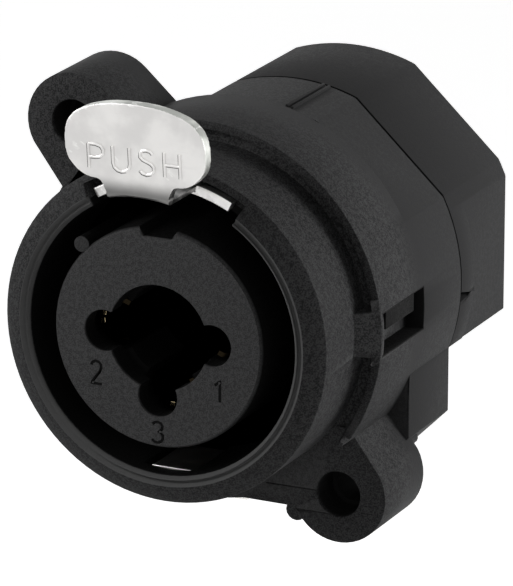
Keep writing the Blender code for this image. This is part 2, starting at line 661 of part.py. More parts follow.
def cut_blade_slit(insert, name, centre, tools):
    """The slit that the contact's blade and leg slide into from behind."""
    x, top, bottom = blade_place(name, centre)
    half = BLADE_THICKNESS / 2 + GAP
    cut(insert, block(f"blade_slit_{name}", (x - half, POCKET_START_Y + 1.0 * MM, bottom - GAP),
                      (x + half, FLANGE_BACK_Y + 1.0 * MM, top + GAP), tools))
    cut(insert, block(f"leg_slit_{name}", (x - half - 0.02 * MM, FLANGE_FRONT_Y + 0.6 * MM, LUG_BOTTOM_Z - GAP),
                      (x + half + 0.02 * MM, FLANGE_BACK_Y + 1.2 * MM, top + 0.1 * MM), tools))


def plug_contact(name, centre, parts, tools, material):
    """A rolled clip round one pin, with the blade and solder lug stamped in one piece with it."""
    x, top, bottom = blade_place(name, centre)
    facing = {"1": 0.0, "2": 180.0, "3": -90.0}[name]
    outline = [(centre[0] + u, centre[1] + v) for u, v in sector(
        CLIP_INNER_RADIUS, CLIP_OUTER_RADIUS, facing - CLIP_HALF_ANGLE, facing + CLIP_HALF_ANGLE, 18)]
    contact = plate_across(f"plug_contact_{name}", outline, CLIP_START_Y, CLIP_END_Y, parts, material)
    leg_front = FLANGE_FRONT_Y + 0.9 * MM
    leg_back = FLANGE_BACK_Y - 0.2 * MM
    start = CLIP_START_Y + 2.0 * MM
    blade = [(start, top), (leg_back, top), (leg_back, LUG_TOP_Z),
             (LUG_END_Y - 0.5 * MM, LUG_TOP_Z), (LUG_END_Y, LUG_TOP_Z - 0.5 * MM),
             (LUG_END_Y, LUG_BOTTOM_Z + 0.5 * MM), (LUG_END_Y - 0.5 * MM, LUG_BOTTOM_Z),
             (leg_front, LUG_BOTTOM_Z), (leg_front, bottom), (start, bottom)]
    join(contact, plate_along(f"blade_{name}", blade, x - BLADE_THICKNESS / 2,
                              x + BLADE_THICKNESS / 2, tools))
    cut(contact, eye(f"eye_{name}", (x, LUG_END_Y - 1.5 * MM, (LUG_TOP_Z + LUG_BOTTOM_Z) / 2),
                     "X", tools))
    smooth(contact)
    return contact


def eye(name, centre, axis, tools):
    """A cutter for a solder eye along X or Z."""
    hole = rod(name, LUG_EYE_RADIUS, -1.5 * MM, 1.5 * MM, (0.0, 0.0), tools, 16)
    hole.rotation_euler = (0.0, 0.0, math.pi / 2) if axis == "X" else (math.pi / 2, 0.0, 0.0)
    hole.location = centre
    return hole


def jack_carrier(parts, tools, material):
    """The slotted block that holds the three jack springs round the bore."""
    w, top, low = CARRIER_HALF_WIDTH, CARRIER_TOP_Z, CARRIER_BOTTOM_Z
    corner = 1.2 * MM
    outline = [(w, low), (w, top - corner), (w - corner, top), (-w + corner, top),
               (-w, top - corner), (-w, low)]
    carrier = plate_across("jack_carrier", outline, CARRIER_FRONT_Y, CARRIER_BACK_Y, parts, material)
    cut(carrier, rod("carrier_bore", JACK_BORE_RADIUS, CARRIER_FRONT_Y - 1.0 * MM,
                     CARRIER_BACK_Y + 1.0 * MM, (0.0, 0.0), tools, 40))
    cut(carrier, block("under_slot", (-CARRIER_UNDER_SLOT, CARRIER_FRONT_Y - 1.2 * MM, low - 1.0 * MM),
                       (CARRIER_UNDER_SLOT, CARRIER_BACK_Y + 1.2 * MM, 0.0), tools))
    slot_half = JACK_SPRING_HALF_WIDTH + GAP
    for side in (1, -1):
        cut(carrier, block(f"side_slot_{side}",
                           (0.0, CARRIER_FRONT_Y + CARRIER_FRONT_WALL, -slot_half),
                           (side * (CARRIER_HALF_WIDTH + 1.0 * MM), CARRIER_BACK_Y + 1.4 * MM,
                            slot_half), tools))
    smooth(carrier)
    return carrier


def jack_springs(parts, tools, material):
    """The tip, ring and sleeve springs, each bent from strip with its solder lug."""
    x, z = SIDE_SPRING_X, TOP_SPRING_Z
    tip_path = [(JACK_LUG_END_Y, x), *TIP_BENDS]
    ring_path = [(JACK_LUG_END_Y, -x), *RING_BENDS]
    sleeve_path = [(JACK_LUG_END_Y, z), *SLEEVE_BENDS]
    for name, path, plane, place, axis in (
            ("jack_tip_spring", tip_path, "YX", (x, JACK_LUG_END_Y - 1.4 * MM, 0.0), "X"),
            ("jack_ring_spring", ring_path, "YX", (-x, JACK_LUG_END_Y - 1.4 * MM, 0.0), "X"),
            ("jack_sleeve_spring", sleeve_path, "YZ", (0.0, JACK_LUG_END_Y - 1.4 * MM, z), "Z")):
        spring = bent_strip(name, rounded_path(path, 0.7 * MM), JACK_SPRING_HALF_WIDTH,
                            JACK_SPRING_THICKNESS, plane, parts, material)
        cut(spring, eye(f"{name}_eye", place, axis, tools))
        smooth(spring)


def ground_spring(parts, tools, material):
    """The strip under the bore that grounds the plug's shell, with a finger that meets the panel."""
    path = [(GROUND_START_Y, GROUND_Z), (1.6 * MM, GROUND_Z), (2.9 * MM, GROUND_Z + 0.75 * MM),
            (4.1 * MM, GROUND_Z + 0.75 * MM), (5.4 * MM, GROUND_Z), (GROUND_END_Y, GROUND_Z)]
    spring = bent_strip("ground_spring", path, GROUND_HALF_WIDTH, GROUND_THICKNESS, "YZ", parts, material)
    half = GROUND_THICKNESS / 2
    join(spring, plate_across("panel_finger", finger_outline(0.0, 0.0), FINGER_Y - half,
                              FINGER_Y + half, tools))
    smooth(spring)
    return spring


def plate_outline():
    """The push plate seen from the front, with its neck, as (x, z) points from the top round."""
    w, top, low = PLATE_HALF_WIDTH, PLATE_TOP_Z, PLATE_BOTTOM_Z
    half = [(0.0, top), (1.2 * MM, top - 0.04 * MM), (2.3 * MM, top - 0.2 * MM),
            (3.5 * MM, top - 0.55 * MM), (4.35 * MM, top - 1.05 * MM), (4.88 * MM, top - 1.75 * MM),
            (w, top - 2.6 * MM), (w, top - 3.55 * MM), (w - 0.2 * MM, top - 4.15 * MM),
            (4.5 * MM, low + 0.9 * MM), (3.85 * MM, low + 0.3 * MM), (3.1 * MM, low + 0.02 * MM),
            (NECK_HALF_WIDTH, low - 0.06 * MM), (NECK_HALF_WIDTH - 0.12 * MM, low - 0.4 * MM),
            (NECK_HALF_WIDTH - 0.24 * MM, NECK_BOTTOM_Z)]
    return half + [(-x, z) for x, z in reversed(half[1:])]


def latch_lever(parts, tools, material):
    """The cast latch: push plate, neck, arm with the hook, and the two wings it rocks on."""
    pivot = bpy.data.objects.new("latch_pivot", None)
    parts.objects.link(pivot)
    pivot.location = (0.0, PIVOT_Y, PIVOT_Z)
    bpy.context.view_layer.update()
    lever = plate_across("latch_lever", plate_outline(), PLATE_FRONT_Y, PLATE_FRONT_Y + PLATE_THICKNESS,
                         parts, material)
    for corner in lever.data.vertices:
        corner.co.y -= (corner.co.z - PLATE_LEAN_Z) * PLATE_LEAN
    join(lever, arm(tools))
    centre = (0.0, WING_ARC_Z)
    spread = math.degrees(math.asin(WING_HALF_WIDTH / WING_ARC_RADIUS))
    inner, outer = WING_ARC_RADIUS - WING_HEIGHT / 2, WING_ARC_RADIUS + WING_HEIGHT / 2
    bar = arc(outer, 90.0 - spread, 90.0 + spread, 12, centre)
    bar += arc(inner, 90.0 + spread, 90.0 - spread, 12, centre)
    join(lever, plate_across("wings", bar, WING_FRONT_Y, WING_BACK_Y, tools))
    lever.parent = pivot
    lever.matrix_parent_inverse = pivot.matrix_world.inverted()
    smooth(lever)
    return lever


def arm(tools):
    """The arched arm, rounded under its front end, with the hook under its back end."""
    front = ARM_FRONT_Y
    ring = turned("arm_ring", [
        (ARM_INNER_RADIUS, front + 0.75 * MM),
        (ARM_INNER_RADIUS + 0.13 * MM, front + 0.35 * MM),
        (ARM_INNER_RADIUS + 0.38 * MM, front + 0.1 * MM),
        (ARM_OUTER_RADIUS, front),
        (ARM_OUTER_RADIUS, -4.6 * MM),
        (ARM_REAR_OUTER_RADIUS, -3.0 * MM),
        (ARM_REAR_OUTER_RADIUS, ARM_END_Y),
        (ARM_REAR_INNER_RADIUS, ARM_END_Y),
        (ARM_REAR_INNER_RADIUS, -3.0 * MM),
        (ARM_INNER_RADIUS, -4.6 * MM),
    ], tools)
    combine(ring, block("arm_width", (-ARM_HALF_WIDTH, front - 1.0 * MM, 8.0 * MM),
                        (ARM_HALF_WIDTH, ARM_END_Y + 1.0 * MM, 12.0 * MM), tools), "INTERSECT")
    root = ARM_REAR_INNER_RADIUS + 0.2 * MM
    side_view = [(HOOK_START_Y, root), (HOOK_START_Y + 0.2 * MM, ARM_REAR_INNER_RADIUS - 0.35 * MM),
                 (HOOK_END_Y - 0.6 * MM, HOOK_TIP_RADIUS), (HOOK_END_Y, HOOK_TIP_RADIUS), (HOOK_END_Y, root)]
    join(ring, plate_along("hook", side_view, -1.7 * MM, 1.7 * MM, tools))
    return ring


def latch_spring(parts, tools, material):
    """The leaf that presses the latch arm down into the bore."""
    top = CHANNEL_ROOF_RADIUS - GAP - SPRING_THICKNESS
    rest = ARM_REAR_OUTER_RADIUS + GAP + SPRING_THICKNESS / 2
    path = [(CHANNEL_END_Y - GAP, top), (6.0 * MM, top), (3.0 * MM, rest), (2.2 * MM, rest),
            (1.5 * MM, rest + 0.35 * MM)]
    spring = bent_strip("latch_spring", rounded_path(path, 0.8 * MM), SPRING_HALF_WIDTH,
                        SPRING_THICKNESS, "YZ", parts, material)
    smooth(spring)
    return spring


def main():
    clear_scene()
    parts = make_collection("combination_panel_socket")
    tools = make_collection("cutters")
    shell_black = make_material("moulded_black", (0.03, 0.03, 0.031), 0.55)
    insert_black = make_material("insert_black", (0.025, 0.025, 0.026), 0.6)
    nickel = make_material("cast_nickel", (0.72, 0.71, 0.68), 0.28, 1.0)
    gold = make_material("gold_plate", (0.86, 0.62, 0.27), 0.3, 1.0)
    silver = make_material("tinned_strip", (0.74, 0.73, 0.7), 0.35, 1.0)
    front_shell(parts, tools, shell_black)
    rear_shell(parts, tools, shell_black)
    contact_insert(parts, tools, insert_black)
    for name, centre in pin_centres():
        plug_contact(name, centre, parts, tools, gold)
    jack_carrier(parts, tools, insert_black)
    jack_springs(parts, tools, silver)
    ground_spring(parts, tools, silver)
    latch_lever(parts, tools, nickel)
    latch_spring(parts, tools, silver)


main()
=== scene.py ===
"""Looks of the combined panel socket: finishes, lettering, the fine cast latch, camera and light.

Metres, +Z up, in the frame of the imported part: the socket faces -Y and its axis is the Y axis. The
origin lies in the plane of the front faces of the two screw ears.
"""

import json
import logging
import math
from collections.abc import Sequence
from dataclasses import dataclass
from enum import Enum

import bmesh
import bpy
from mathutils import Matrix, Vector

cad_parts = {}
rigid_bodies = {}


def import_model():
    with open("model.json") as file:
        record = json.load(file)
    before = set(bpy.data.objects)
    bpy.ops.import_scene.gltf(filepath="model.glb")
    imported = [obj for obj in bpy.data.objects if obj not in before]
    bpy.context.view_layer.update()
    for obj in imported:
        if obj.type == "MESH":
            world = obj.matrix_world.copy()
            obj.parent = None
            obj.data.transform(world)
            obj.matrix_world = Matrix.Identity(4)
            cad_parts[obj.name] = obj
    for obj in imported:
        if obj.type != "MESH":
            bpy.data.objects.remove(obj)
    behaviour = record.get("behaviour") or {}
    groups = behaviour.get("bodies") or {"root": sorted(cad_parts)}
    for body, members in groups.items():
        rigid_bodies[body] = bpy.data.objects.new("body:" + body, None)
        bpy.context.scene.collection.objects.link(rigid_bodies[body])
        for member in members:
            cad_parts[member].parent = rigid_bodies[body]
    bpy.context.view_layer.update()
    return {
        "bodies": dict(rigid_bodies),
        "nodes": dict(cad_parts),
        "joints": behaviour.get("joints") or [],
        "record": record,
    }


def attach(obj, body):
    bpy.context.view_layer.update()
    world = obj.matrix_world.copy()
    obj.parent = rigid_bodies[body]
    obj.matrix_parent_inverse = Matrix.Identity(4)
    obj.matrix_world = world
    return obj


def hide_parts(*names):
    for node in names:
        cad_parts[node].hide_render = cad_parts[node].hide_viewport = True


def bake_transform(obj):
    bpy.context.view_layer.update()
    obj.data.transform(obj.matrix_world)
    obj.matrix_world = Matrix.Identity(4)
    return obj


LOG = logging.getLogger("panel_socket")
MM = 0.001
WELD_GAP = 0.002 * MM

Point = tuple[float, float]
Colour = tuple[float, float, float]
Socket = bpy.types.NodeSocket


class Body(Enum):
    """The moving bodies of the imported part."""

    HOUSING = "housing"
    LATCH = "latch"


class Slot(Enum):
    """The material slots of the record."""

    SHELL = "moulded_black"
    INSERT = "insert_black"
    LATCH = "cast_nickel"
    CONTACT = "gold_plate"
    STRIP = "tinned_strip"


class Coat(Enum):
    """The finishes."""

    SHELL = "shell"
    INSERT = "insert"
    CARRIER = "carrier"
    # Painted shade: near-black floors laid in the engraved numbers.
    GROOVE_SHADE = "engraved"
    LATCH = "latch"
    # Painted shade: a darker copy of the latch finish for the plate's side faces.
    LATCH_SHADED_SIDE = "latch edge"
    # Painted shadow: a near-black copy of the latch finish under the raised word.
    LATCH_PAINTED_SHADOW = "latch grime"
    CONTACT = "contact"
    # Painted glint: a lighter gold for small bars on the clips' front edges.
    CONTACT_GLINT = "contact tip"
    STRIP = "strip"


# Shader node groups


class GroupBuilder:
    """Builds one shader node group with named number inputs and outputs."""

    def __init__(self, name: str, takes: dict[str, float], gives: Sequence[str]) -> None:
        """Starts a group with its sockets.

        Args:
            name: The name of the new node group.
            takes: Its inputs, with their defaults.
            gives: Its outputs.
        """
        self.tree = bpy.data.node_groups.new(name, "ShaderNodeTree")
        self.entry = self.tree.nodes.new("NodeGroupInput")
        self.exit = self.tree.nodes.new("NodeGroupOutput")
        for title, value in takes.items():
            made = self.tree.interface.new_socket(title, in_out="INPUT", socket_type="NodeSocketFloat")
            made.default_value = value
        for title in gives:
            self.tree.interface.new_socket(title, in_out="OUTPUT", socket_type="NodeSocketFloat")

    def value(self, name: str) -> Socket:
        """The socket that carries one of the group's inputs."""
        return self.entry.outputs[name]

    def put_out(self, name: str, source: Socket) -> None:
        """Links a socket to one of the group's outputs."""
        self.feed(self.exit.inputs[name], source)

    def node(self, kind: str, **settings: object) -> bpy.types.Node:
        """Adds a node and sets its properties.

        Args:
            kind: The node's type name.
            **settings: Properties of the node.

        Returns:
            The new node.
        """
        made = self.tree.nodes.new(kind)
        for name, value in settings.items():
            setattr(made, name, value)
        return made

    def feed(self, target: Socket, term: "Socket | float") -> None:
        """Sets an input to a number, or links a socket to it."""
        if isinstance(term, (int, float)):
            target.default_value = term
        else:
            self.tree.links.new(term, target)

    def calc(self, operation: str, first: "Socket | float", second: "Socket | float",
             **settings: object) -> Socket:
        """A two-term calculation.

        Args:
            operation: The Math node's operation.
            first: A socket or a number.
            second: A socket or a number.
            **settings: Further properties of the node.

        Returns:
            The socket with the result.
        """
        made = self.node("ShaderNodeMath", operation=operation, **settings)
        self.feed(made.inputs[0], first)
        self.feed(made.inputs[1], second)
        return made.outputs[0]

    def ramp(self, source: Socket, low: "Socket | float", high: "Socket | float",
             kind: str = "SMOOTHSTEP") -> Socket:
        """Maps a range onto 0 to 1.

        Args:
            source: The socket with the value.
            low: The value that gives 0.
            high: The value that gives 1.
            kind: How it runs between them.

        Returns:
            The socket with the result.
        """
        made = self.node("ShaderNodeMapRange", interpolation_type=kind)
        self.feed(made.inputs["Value"], source)
        self.feed(made.inputs["From Min"], low)
        self.feed(made.inputs["From Max"], high)
        return made.outputs["Result"]

    def place(self) -> Socket:
        """The place on the object, in its own metres."""
        return self.node("ShaderNodeTexCoord").outputs["Object"]

    def axes(self) -> dict[str, Socket]:
        """The X, Y and Z of the place on the object, by name."""
        made = self.node("ShaderNodeSeparateXYZ")
        self.feed(made.inputs["Vector"], self.place())
        return {axis: made.outputs[axis] for axis in "XYZ"}

    def noise(self, scale: Socket, detail: float, roughness: float = 0.5,
              place: Socket | None = None) -> Socket:
        """Noise over the object.

        Args:
            scale: Waves per metre.
            detail: Octaves of noise.
            roughness: How much the finer octaves count.
            place: The place it is read at, or None for the object's own metres.

        Returns:
            The socket with the noise, about 0.5 on average.
        """
        made = self.node("ShaderNodeTexNoise")
        made.inputs["Detail"].default_value = detail
        made.inputs["Roughness"].default_value = roughness
        self.feed(made.inputs["Vector"], place or self.place())
        self.feed(made.inputs["Scale"], scale)
        return made.outputs["Fac"]


def build_moulded_grain() -> bpy.types.NodeTree:
    """The spark-eroded grain of a moulded surface: its height and a speckle mask."""
    group = GroupBuilder("moulded_grain", {"Grains per metre": 9000.0, "Speckle contrast": 2.6},
                         ("Height", "Speckle"))
    scale = group.value("Grains per metre")
    coarse_scale, fine_share, coarse_share = 0.33, 0.7, 0.3
    fine = group.noise(scale, detail=2.0, roughness=0.6)
    coarse = group.noise(group.calc("MULTIPLY", scale, coarse_scale), detail=1.0)
    mixed = group.calc("ADD", group.calc("MULTIPLY", fine, fine_share),
                       group.calc("MULTIPLY", coarse, coarse_share))
    group.put_out("Height", mixed)
    spread = group.calc("MULTIPLY", group.calc("SUBTRACT", mixed, 0.5), group.value("Speckle contrast"))
    group.put_out("Speckle", group.calc("ADD", spread, 0.5, use_clamp=True))
    return group.tree


def build_flow_patches() -> bpy.types.NodeTree:
    """The faint patches that the flow of the plastic or the cast metal leaves, as a soft mask."""
    group = GroupBuilder("flow_patches", {"Patches per metre": 260.0}, ("Patch",))
    noise = group.noise(group.value("Patches per metre"), detail=3.0, roughness=0.55)
    group.put_out("Patch", group.ramp(noise, low=0.34, high=0.66))
    return group.tree


def build_edge_wear() -> bpy.types.NodeTree:
    """Edges that handling has polished, as a mask that is 1 on a worn edge."""
    group = GroupBuilder("edge_wear", {"Threshold": 0.53, "Break-up per metre": 2500.0}, ("Wear",))
    start, edge_width = group.value("Threshold"), 0.09
    edge = group.node("ShaderNodeNewGeometry").outputs["Pointiness"]
    worn = group.ramp(edge, start, group.calc("ADD", start, edge_width))
    broken = group.noise(group.value("Break-up per metre"), detail=2.0)
    group.put_out("Wear", group.calc("MULTIPLY", worn, broken))
    return group.tree


def build_fine_scratches() -> bpy.types.NodeTree:
    """Hairline scratches along one direction of the object, as a mask of thin lines."""
    group = GroupBuilder("fine_scratches", {"Lines per metre": 5200.0}, ("Scratch",))
    turn = group.node("ShaderNodeMapping")
    turn.inputs["Rotation"].default_value = (0.0, math.radians(24.0), 0.0)
    turn.inputs["Scale"].default_value = (0.06, 1.0, 1.0)
    group.feed(turn.inputs["Vector"], group.place())
    noise = group.noise(group.value("Lines per metre"), detail=2.0, place=turn.outputs["Vector"])
    group.put_out("Scratch", group.ramp(noise, low=0.6, high=0.72, kind="LINEAR"))
    return group.tree


def build_pocket_shade() -> bpy.types.NodeTree:
    """Where painted shade covers the inside of a box-shaped pocket or gap, as a mask that is 1 between the
    box's places.
    """
    places = {f"{end} {axis}": value for axis in "XYZ" for end, value in (("Low", -1.0), ("High", 1.0))}
    group = GroupBuilder("pocket_shade", places, ("Shade",))
    axes = group.axes()
    inside = 1.0
    for axis in "XYZ":
        above = group.calc("GREATER_THAN", axes[axis], group.value(f"Low {axis}"))
        below = group.calc("LESS_THAN", axes[axis], group.value(f"High {axis}"))
        inside = group.calc("MULTIPLY", inside, group.calc("MULTIPLY", above, below))
    group.put_out("Shade", inside)
    return group.tree


def build_zone_shade() -> bpy.types.NodeTree:
    """A shade over one zone of the object, such as a deep bore or the foot of a bend, as a mask.

    Its inputs are the places, in metres, where the shade starts, is full and ends along Y, where it
    starts and is full along Z, and the circle within which it lies.
    """
    group = GroupBuilder("zone_shade", {
        "Start Y": -1.0, "Full Y": -0.9, "End Y": 1.0, "Start Z": 1.0, "Full Z": 0.9, "Reach": 1.0,
        "Centre X": 0.0, "Centre Z": 0.0}, ("Shade",))
    axes = group.axes()
    shade = group.calc("LESS_THAN", axes["Y"], group.value("End Y"))
    for axis in "YZ":
        ramp = group.ramp(axes[axis], group.value(f"Start {axis}"), group.value(f"Full {axis}"))
        shade = group.calc("MULTIPLY", shade, ramp)
    squares = []
    for axis in "XZ":
        aside = group.calc("SUBTRACT", axes[axis], group.value(f"Centre {axis}"))
        squares.append(group.calc("MULTIPLY", aside, aside))
    radius = group.calc("SQRT", group.calc("ADD", *squares), 0.0)
    near = group.calc("LESS_THAN", radius, group.value("Reach"))
    group.put_out("Shade", group.calc("MULTIPLY", shade, near))
    return group.tree


@dataclass(frozen=True)
class EffectGroups:
    """The node groups that the finishes share."""

    grain: bpy.types.NodeTree
    patches: bpy.types.NodeTree
    wear: bpy.types.NodeTree
    scratches: bpy.types.NodeTree
    zone: bpy.types.NodeTree
    pocket: bpy.types.NodeTree

    @classmethod
    def build(cls) -> "EffectGroups":
        """Builds every group once."""
        return cls(build_moulded_grain(), build_flow_patches(), build_edge_wear(),
                   build_fine_scratches(), build_zone_shade(), build_pocket_shade())


# Finishes

# Where a Mix node keeps its two colours and their mix
MIX_UNDER, MIX_OVER, MIX_RESULT = 6, 7, 2


class MaterialBuilder:
    """Builds one material around a Principled shader."""

    def __init__(self, name: str) -> None:
        """Starts the material with its shader and output.

        Args:
            name: The material's name.
        """
        self.material = bpy.data.materials.new(name)
        self.material.use_nodes = True
        self.tree = self.material.node_tree
        self.shader = self.tree.nodes["Principled BSDF"]

    def link(self, source: Socket, target: Socket) -> None:
        """Links one socket to another."""
        self.tree.links.new(source, target)

    def effect(self, group: bpy.types.NodeTree, **values: float) -> bpy.types.Node:
        """Places one of the shared groups.

        Args:
            group: The node group.
            **values: Its inputs, with spaces written as underscores.

        Returns:
            The group node.
        """
        made = self.tree.nodes.new("ShaderNodeGroup")
        made.node_tree = group
        for name, value in values.items():
            made.inputs[name.replace("_", " ")].default_value = value
        return made

    def mix(self, mask: Socket, under: "Socket | Colour", over: Colour, share: float = 1.0) -> Socket:
        """Lays one colour over another.

        Args:
            mask: Where the upper colour lies.
            under: The colour beneath, or the socket with it.
            over: The colour laid over it.
            share: How much of it shows where the mask is 1.

        Returns:
            The socket with the mixed colour.
        """
        made = self.tree.nodes.new("ShaderNodeMix")
        made.data_type = "RGBA"
        self.link(self.spread(mask, 0.0, share) if share < 1.0 else mask, made.inputs["Factor"])
        if isinstance(under, tuple):
            made.inputs[MIX_UNDER].default_value = (*under, 1.0)
        else:
            self.link(under, made.inputs[MIX_UNDER])
        made.inputs[MIX_OVER].default_value = (*over, 1.0)
        return made.outputs[MIX_RESULT]

    def spread(self, source: Socket, low: float, high: float) -> Socket:
        """Maps 0 to 1 onto a range.

        Args:
            source: The socket with the value.
            low: The result at 0.
            high: The result at 1.

        Returns:
            The socket with the result.
        """
        made = self.tree.nodes.new("ShaderNodeMapRange")
        self.link(source, made.inputs["Value"])
        made.inputs["To Min"].default_value = low
        made.inputs["To Max"].default_value = high
        return made.outputs["Result"]

    def shaded(self, groups: EffectGroups, zones: Sequence["Zone | Pocket"],
               under: Socket) -> Socket:
        """Lays the painted shade and painted highlights of zones and pockets over a colour.

        Args:
            groups: The shared effects.
            zones: Where the painted shades and highlights lie.
            under: The socket with the colour beneath.

        Returns:
            The socket with the shaded colour.
        """
        for zone in zones:
            group = groups.zone if isinstance(zone, Zone) else groups.pocket
            shade = self.effect(group, **zone.places()).outputs["Shade"]
            under = self.mix(shade, under, zone.colour, zone.depth)
        return under

    def surface(self, colour: Socket, mask: Socket, polished: float, matt: float) -> None:
        """Feeds the shader a colour, and a roughness that follows a mask.

        Args:
            colour: The socket with the colour.
            mask: The socket with the mask.
            polished: The roughness where the mask is 0.
            matt: The roughness where it is 1.
        """
        self.link(colour, self.shader.inputs["Base Color"])
        self.link(self.spread(mask, polished, matt), self.shader.inputs["Roughness"])

    def bump(self, height: Socket, distance: float, strength: float) -> None:
        """Feeds a height to the shader's normal.

        Args:
            height: The socket with the height.
            distance: Its depth in metres.
            strength: How much of it shows.
        """
        made = self.tree.nodes.new("ShaderNodeBump")
        made.inputs["Distance"].default_value = distance
        made.inputs["Strength"].default_value = strength
        self.link(height, made.inputs["Height"])
        self.link(made.outputs["Normal"], self.shader.inputs["Normal"])


@dataclass(frozen=True)
class Zone:
    """A round zone of a finish that takes another colour: painted shade in bores, holes and creases, a
    painted highlight on an edge, and a darker tone with less grain.
    """

    colour: Colour = (0.004, 0.004, 0.004)
    depth: float = 1.0
    start_y: float = -1.0
    full_y: float = -0.9
    end_y: float = 1.0
    start_z: float = 1.0
    full_z: float = 0.9
    reach: float = 1.0
    centre: Point = (0.0, 0.0)

    def places(self) -> dict[str, float]:
        """The inputs of the zone's node group."""
        return {"Start_Y": self.start_y, "Full_Y": self.full_y, "End_Y": self.end_y,
                "Start_Z": self.start_z, "Full_Z": self.full_z, "Reach": self.reach,
                "Centre_X": self.centre[0], "Centre_Z": self.centre[1]}


@dataclass(frozen=True)
class Pocket:
    """Painted shade over the inside of a box-shaped pocket or gap."""

    x: tuple[float, float] = (-1.0, 1.0)
    y: tuple[float, float] = (-1.0, 1.0)
    z: tuple[float, float] = (-1.0, 1.0)
    colour: Colour = (0.004, 0.004, 0.004)
    depth: float = 1.0

    def places(self) -> dict[str, float]:
        """The inputs of the pocket's node group."""
        spans = {"X": self.x, "Y": self.y, "Z": self.z}
        return {f"{end}_{axis}": span[place] for axis, span in spans.items()
                for place, end in enumerate(("Low", "High"))}


@dataclass(frozen=True)
class MouldedFinish:
    """Black glass-filled plastic with a fine eroded grain."""

    name: str
    dark: Colour
    light: Colour
    worn: Colour
    grains_per_metre: float = 9500.0
    grain_depth: float = 0.03 * MM
    smooth_roughness: float = 0.58
    rough_roughness: float = 0.74
    specular: float = 0.06
    contrast: float = 7.5
    patches_per_metre: float = 240.0
    patch_amount: float = 0.09
    wear_amount: float = 0.55
    relief: float = 0.6
    zones: tuple[Zone | Pocket, ...] = ()

    def build(self, groups: EffectGroups) -> bpy.types.Material:
        """Builds the material.

        Args:
            groups: The shared effects.

        Returns:
            The material.
        """
        made = MaterialBuilder(self.name)
        grain = made.effect(groups.grain, Grains_per_metre=self.grains_per_metre,
                            Speckle_contrast=self.contrast)
        patches = made.effect(groups.patches, Patches_per_metre=self.patches_per_metre)
        wear = made.effect(groups.wear)
        speckle = grain.outputs["Speckle"]
        colour = made.mix(speckle, self.dark, self.light)
        colour = made.mix(patches.outputs["Patch"], colour, self.light, self.patch_amount)
        colour = made.mix(wear.outputs["Wear"], colour, self.worn, self.wear_amount)
        made.surface(made.shaded(groups, self.zones, colour), speckle, self.smooth_roughness,
                     self.rough_roughness)
        made.shader.inputs["Specular IOR Level"].default_value = self.specular
        made.bump(grain.outputs["Height"], self.grain_depth, self.relief)
        return made.material


@dataclass(frozen=True)
class CastMetalFinish:
    """Nickel on a zinc casting: a dull bright skin, smoother on its rubbed edges."""

    name: str
    skin: Colour
    shade: Colour
    bright: Colour
    pits_per_metre: float = 2600.0
    pit_depth: float = 0.014 * MM
    pit_contrast: float = 2.0
    patches_per_metre: float = 420.0
    wear_threshold: float = 0.54
    scratch_amount: float = 0.25
    polished: float = 0.3
    matt: float = 0.5
    relief: float = 0.5
    zones: tuple[Zone | Pocket, ...] = ()

    def build(self, groups: EffectGroups) -> bpy.types.Material:
        """Builds the material.

        Args:
            groups: The shared effects.

        Returns:
            The material.
        """
        made = MaterialBuilder(self.name)
        made.shader.inputs["Metallic"].default_value = 1.0
        grain = made.effect(groups.grain, Grains_per_metre=self.pits_per_metre,
                            Speckle_contrast=self.pit_contrast)
        patches = made.effect(groups.patches, Patches_per_metre=self.patches_per_metre)
        wear = made.effect(groups.wear, Threshold=self.wear_threshold)
        scratches = made.effect(groups.scratches)
        colour = made.mix(patches.outputs["Patch"], self.shade, self.skin)
        colour = made.mix(scratches.outputs["Scratch"], colour, self.shade, self.scratch_amount)
        colour = made.mix(wear.outputs["Wear"], colour, self.bright)
        made.surface(made.shaded(groups, self.zones, colour), grain.outputs["Speckle"], self.polished,
                     self.matt)
        made.bump(grain.outputs["Height"], self.pit_depth, self.relief)
        return made.material


@dataclass(frozen=True)
class PlatedStripFinish:
    """Plated strip, drawn along its length."""

    name: str
    skin: Colour
    shade: Colour
    polished: float
    matt: float
    lines_per_metre: float = 9000.0
    line_depth: float = 0.004 * MM
    patches_per_metre: float = 700.0
    relief: float = 0.5
    zones: tuple[Zone | Pocket, ...] = ()

    def build(self, groups: EffectGroups) -> bpy.types.Material:
        """Builds the material.

        Args:
            groups: The shared effects.

        Returns:
            The material.
        """
        made = MaterialBuilder(self.name)
        made.shader.inputs["Metallic"].default_value = 1.0
        lines = made.effect(groups.scratches, Lines_per_metre=self.lines_per_metre).outputs["Scratch"]
        patches = made.effect(groups.patches, Patches_per_metre=self.patches_per_metre)
        colour = made.mix(patches.outputs["Patch"], self.shade, self.skin)
        made.surface(made.shaded(groups, self.zones, colour), lines, self.polished, self.matt)
        made.bump(lines, self.line_depth, self.relief)
        return made.material


HOLE_PLACE = (9.9 * MM, -11.8 * MM)
BORE_FRONT = -6.79 * MM
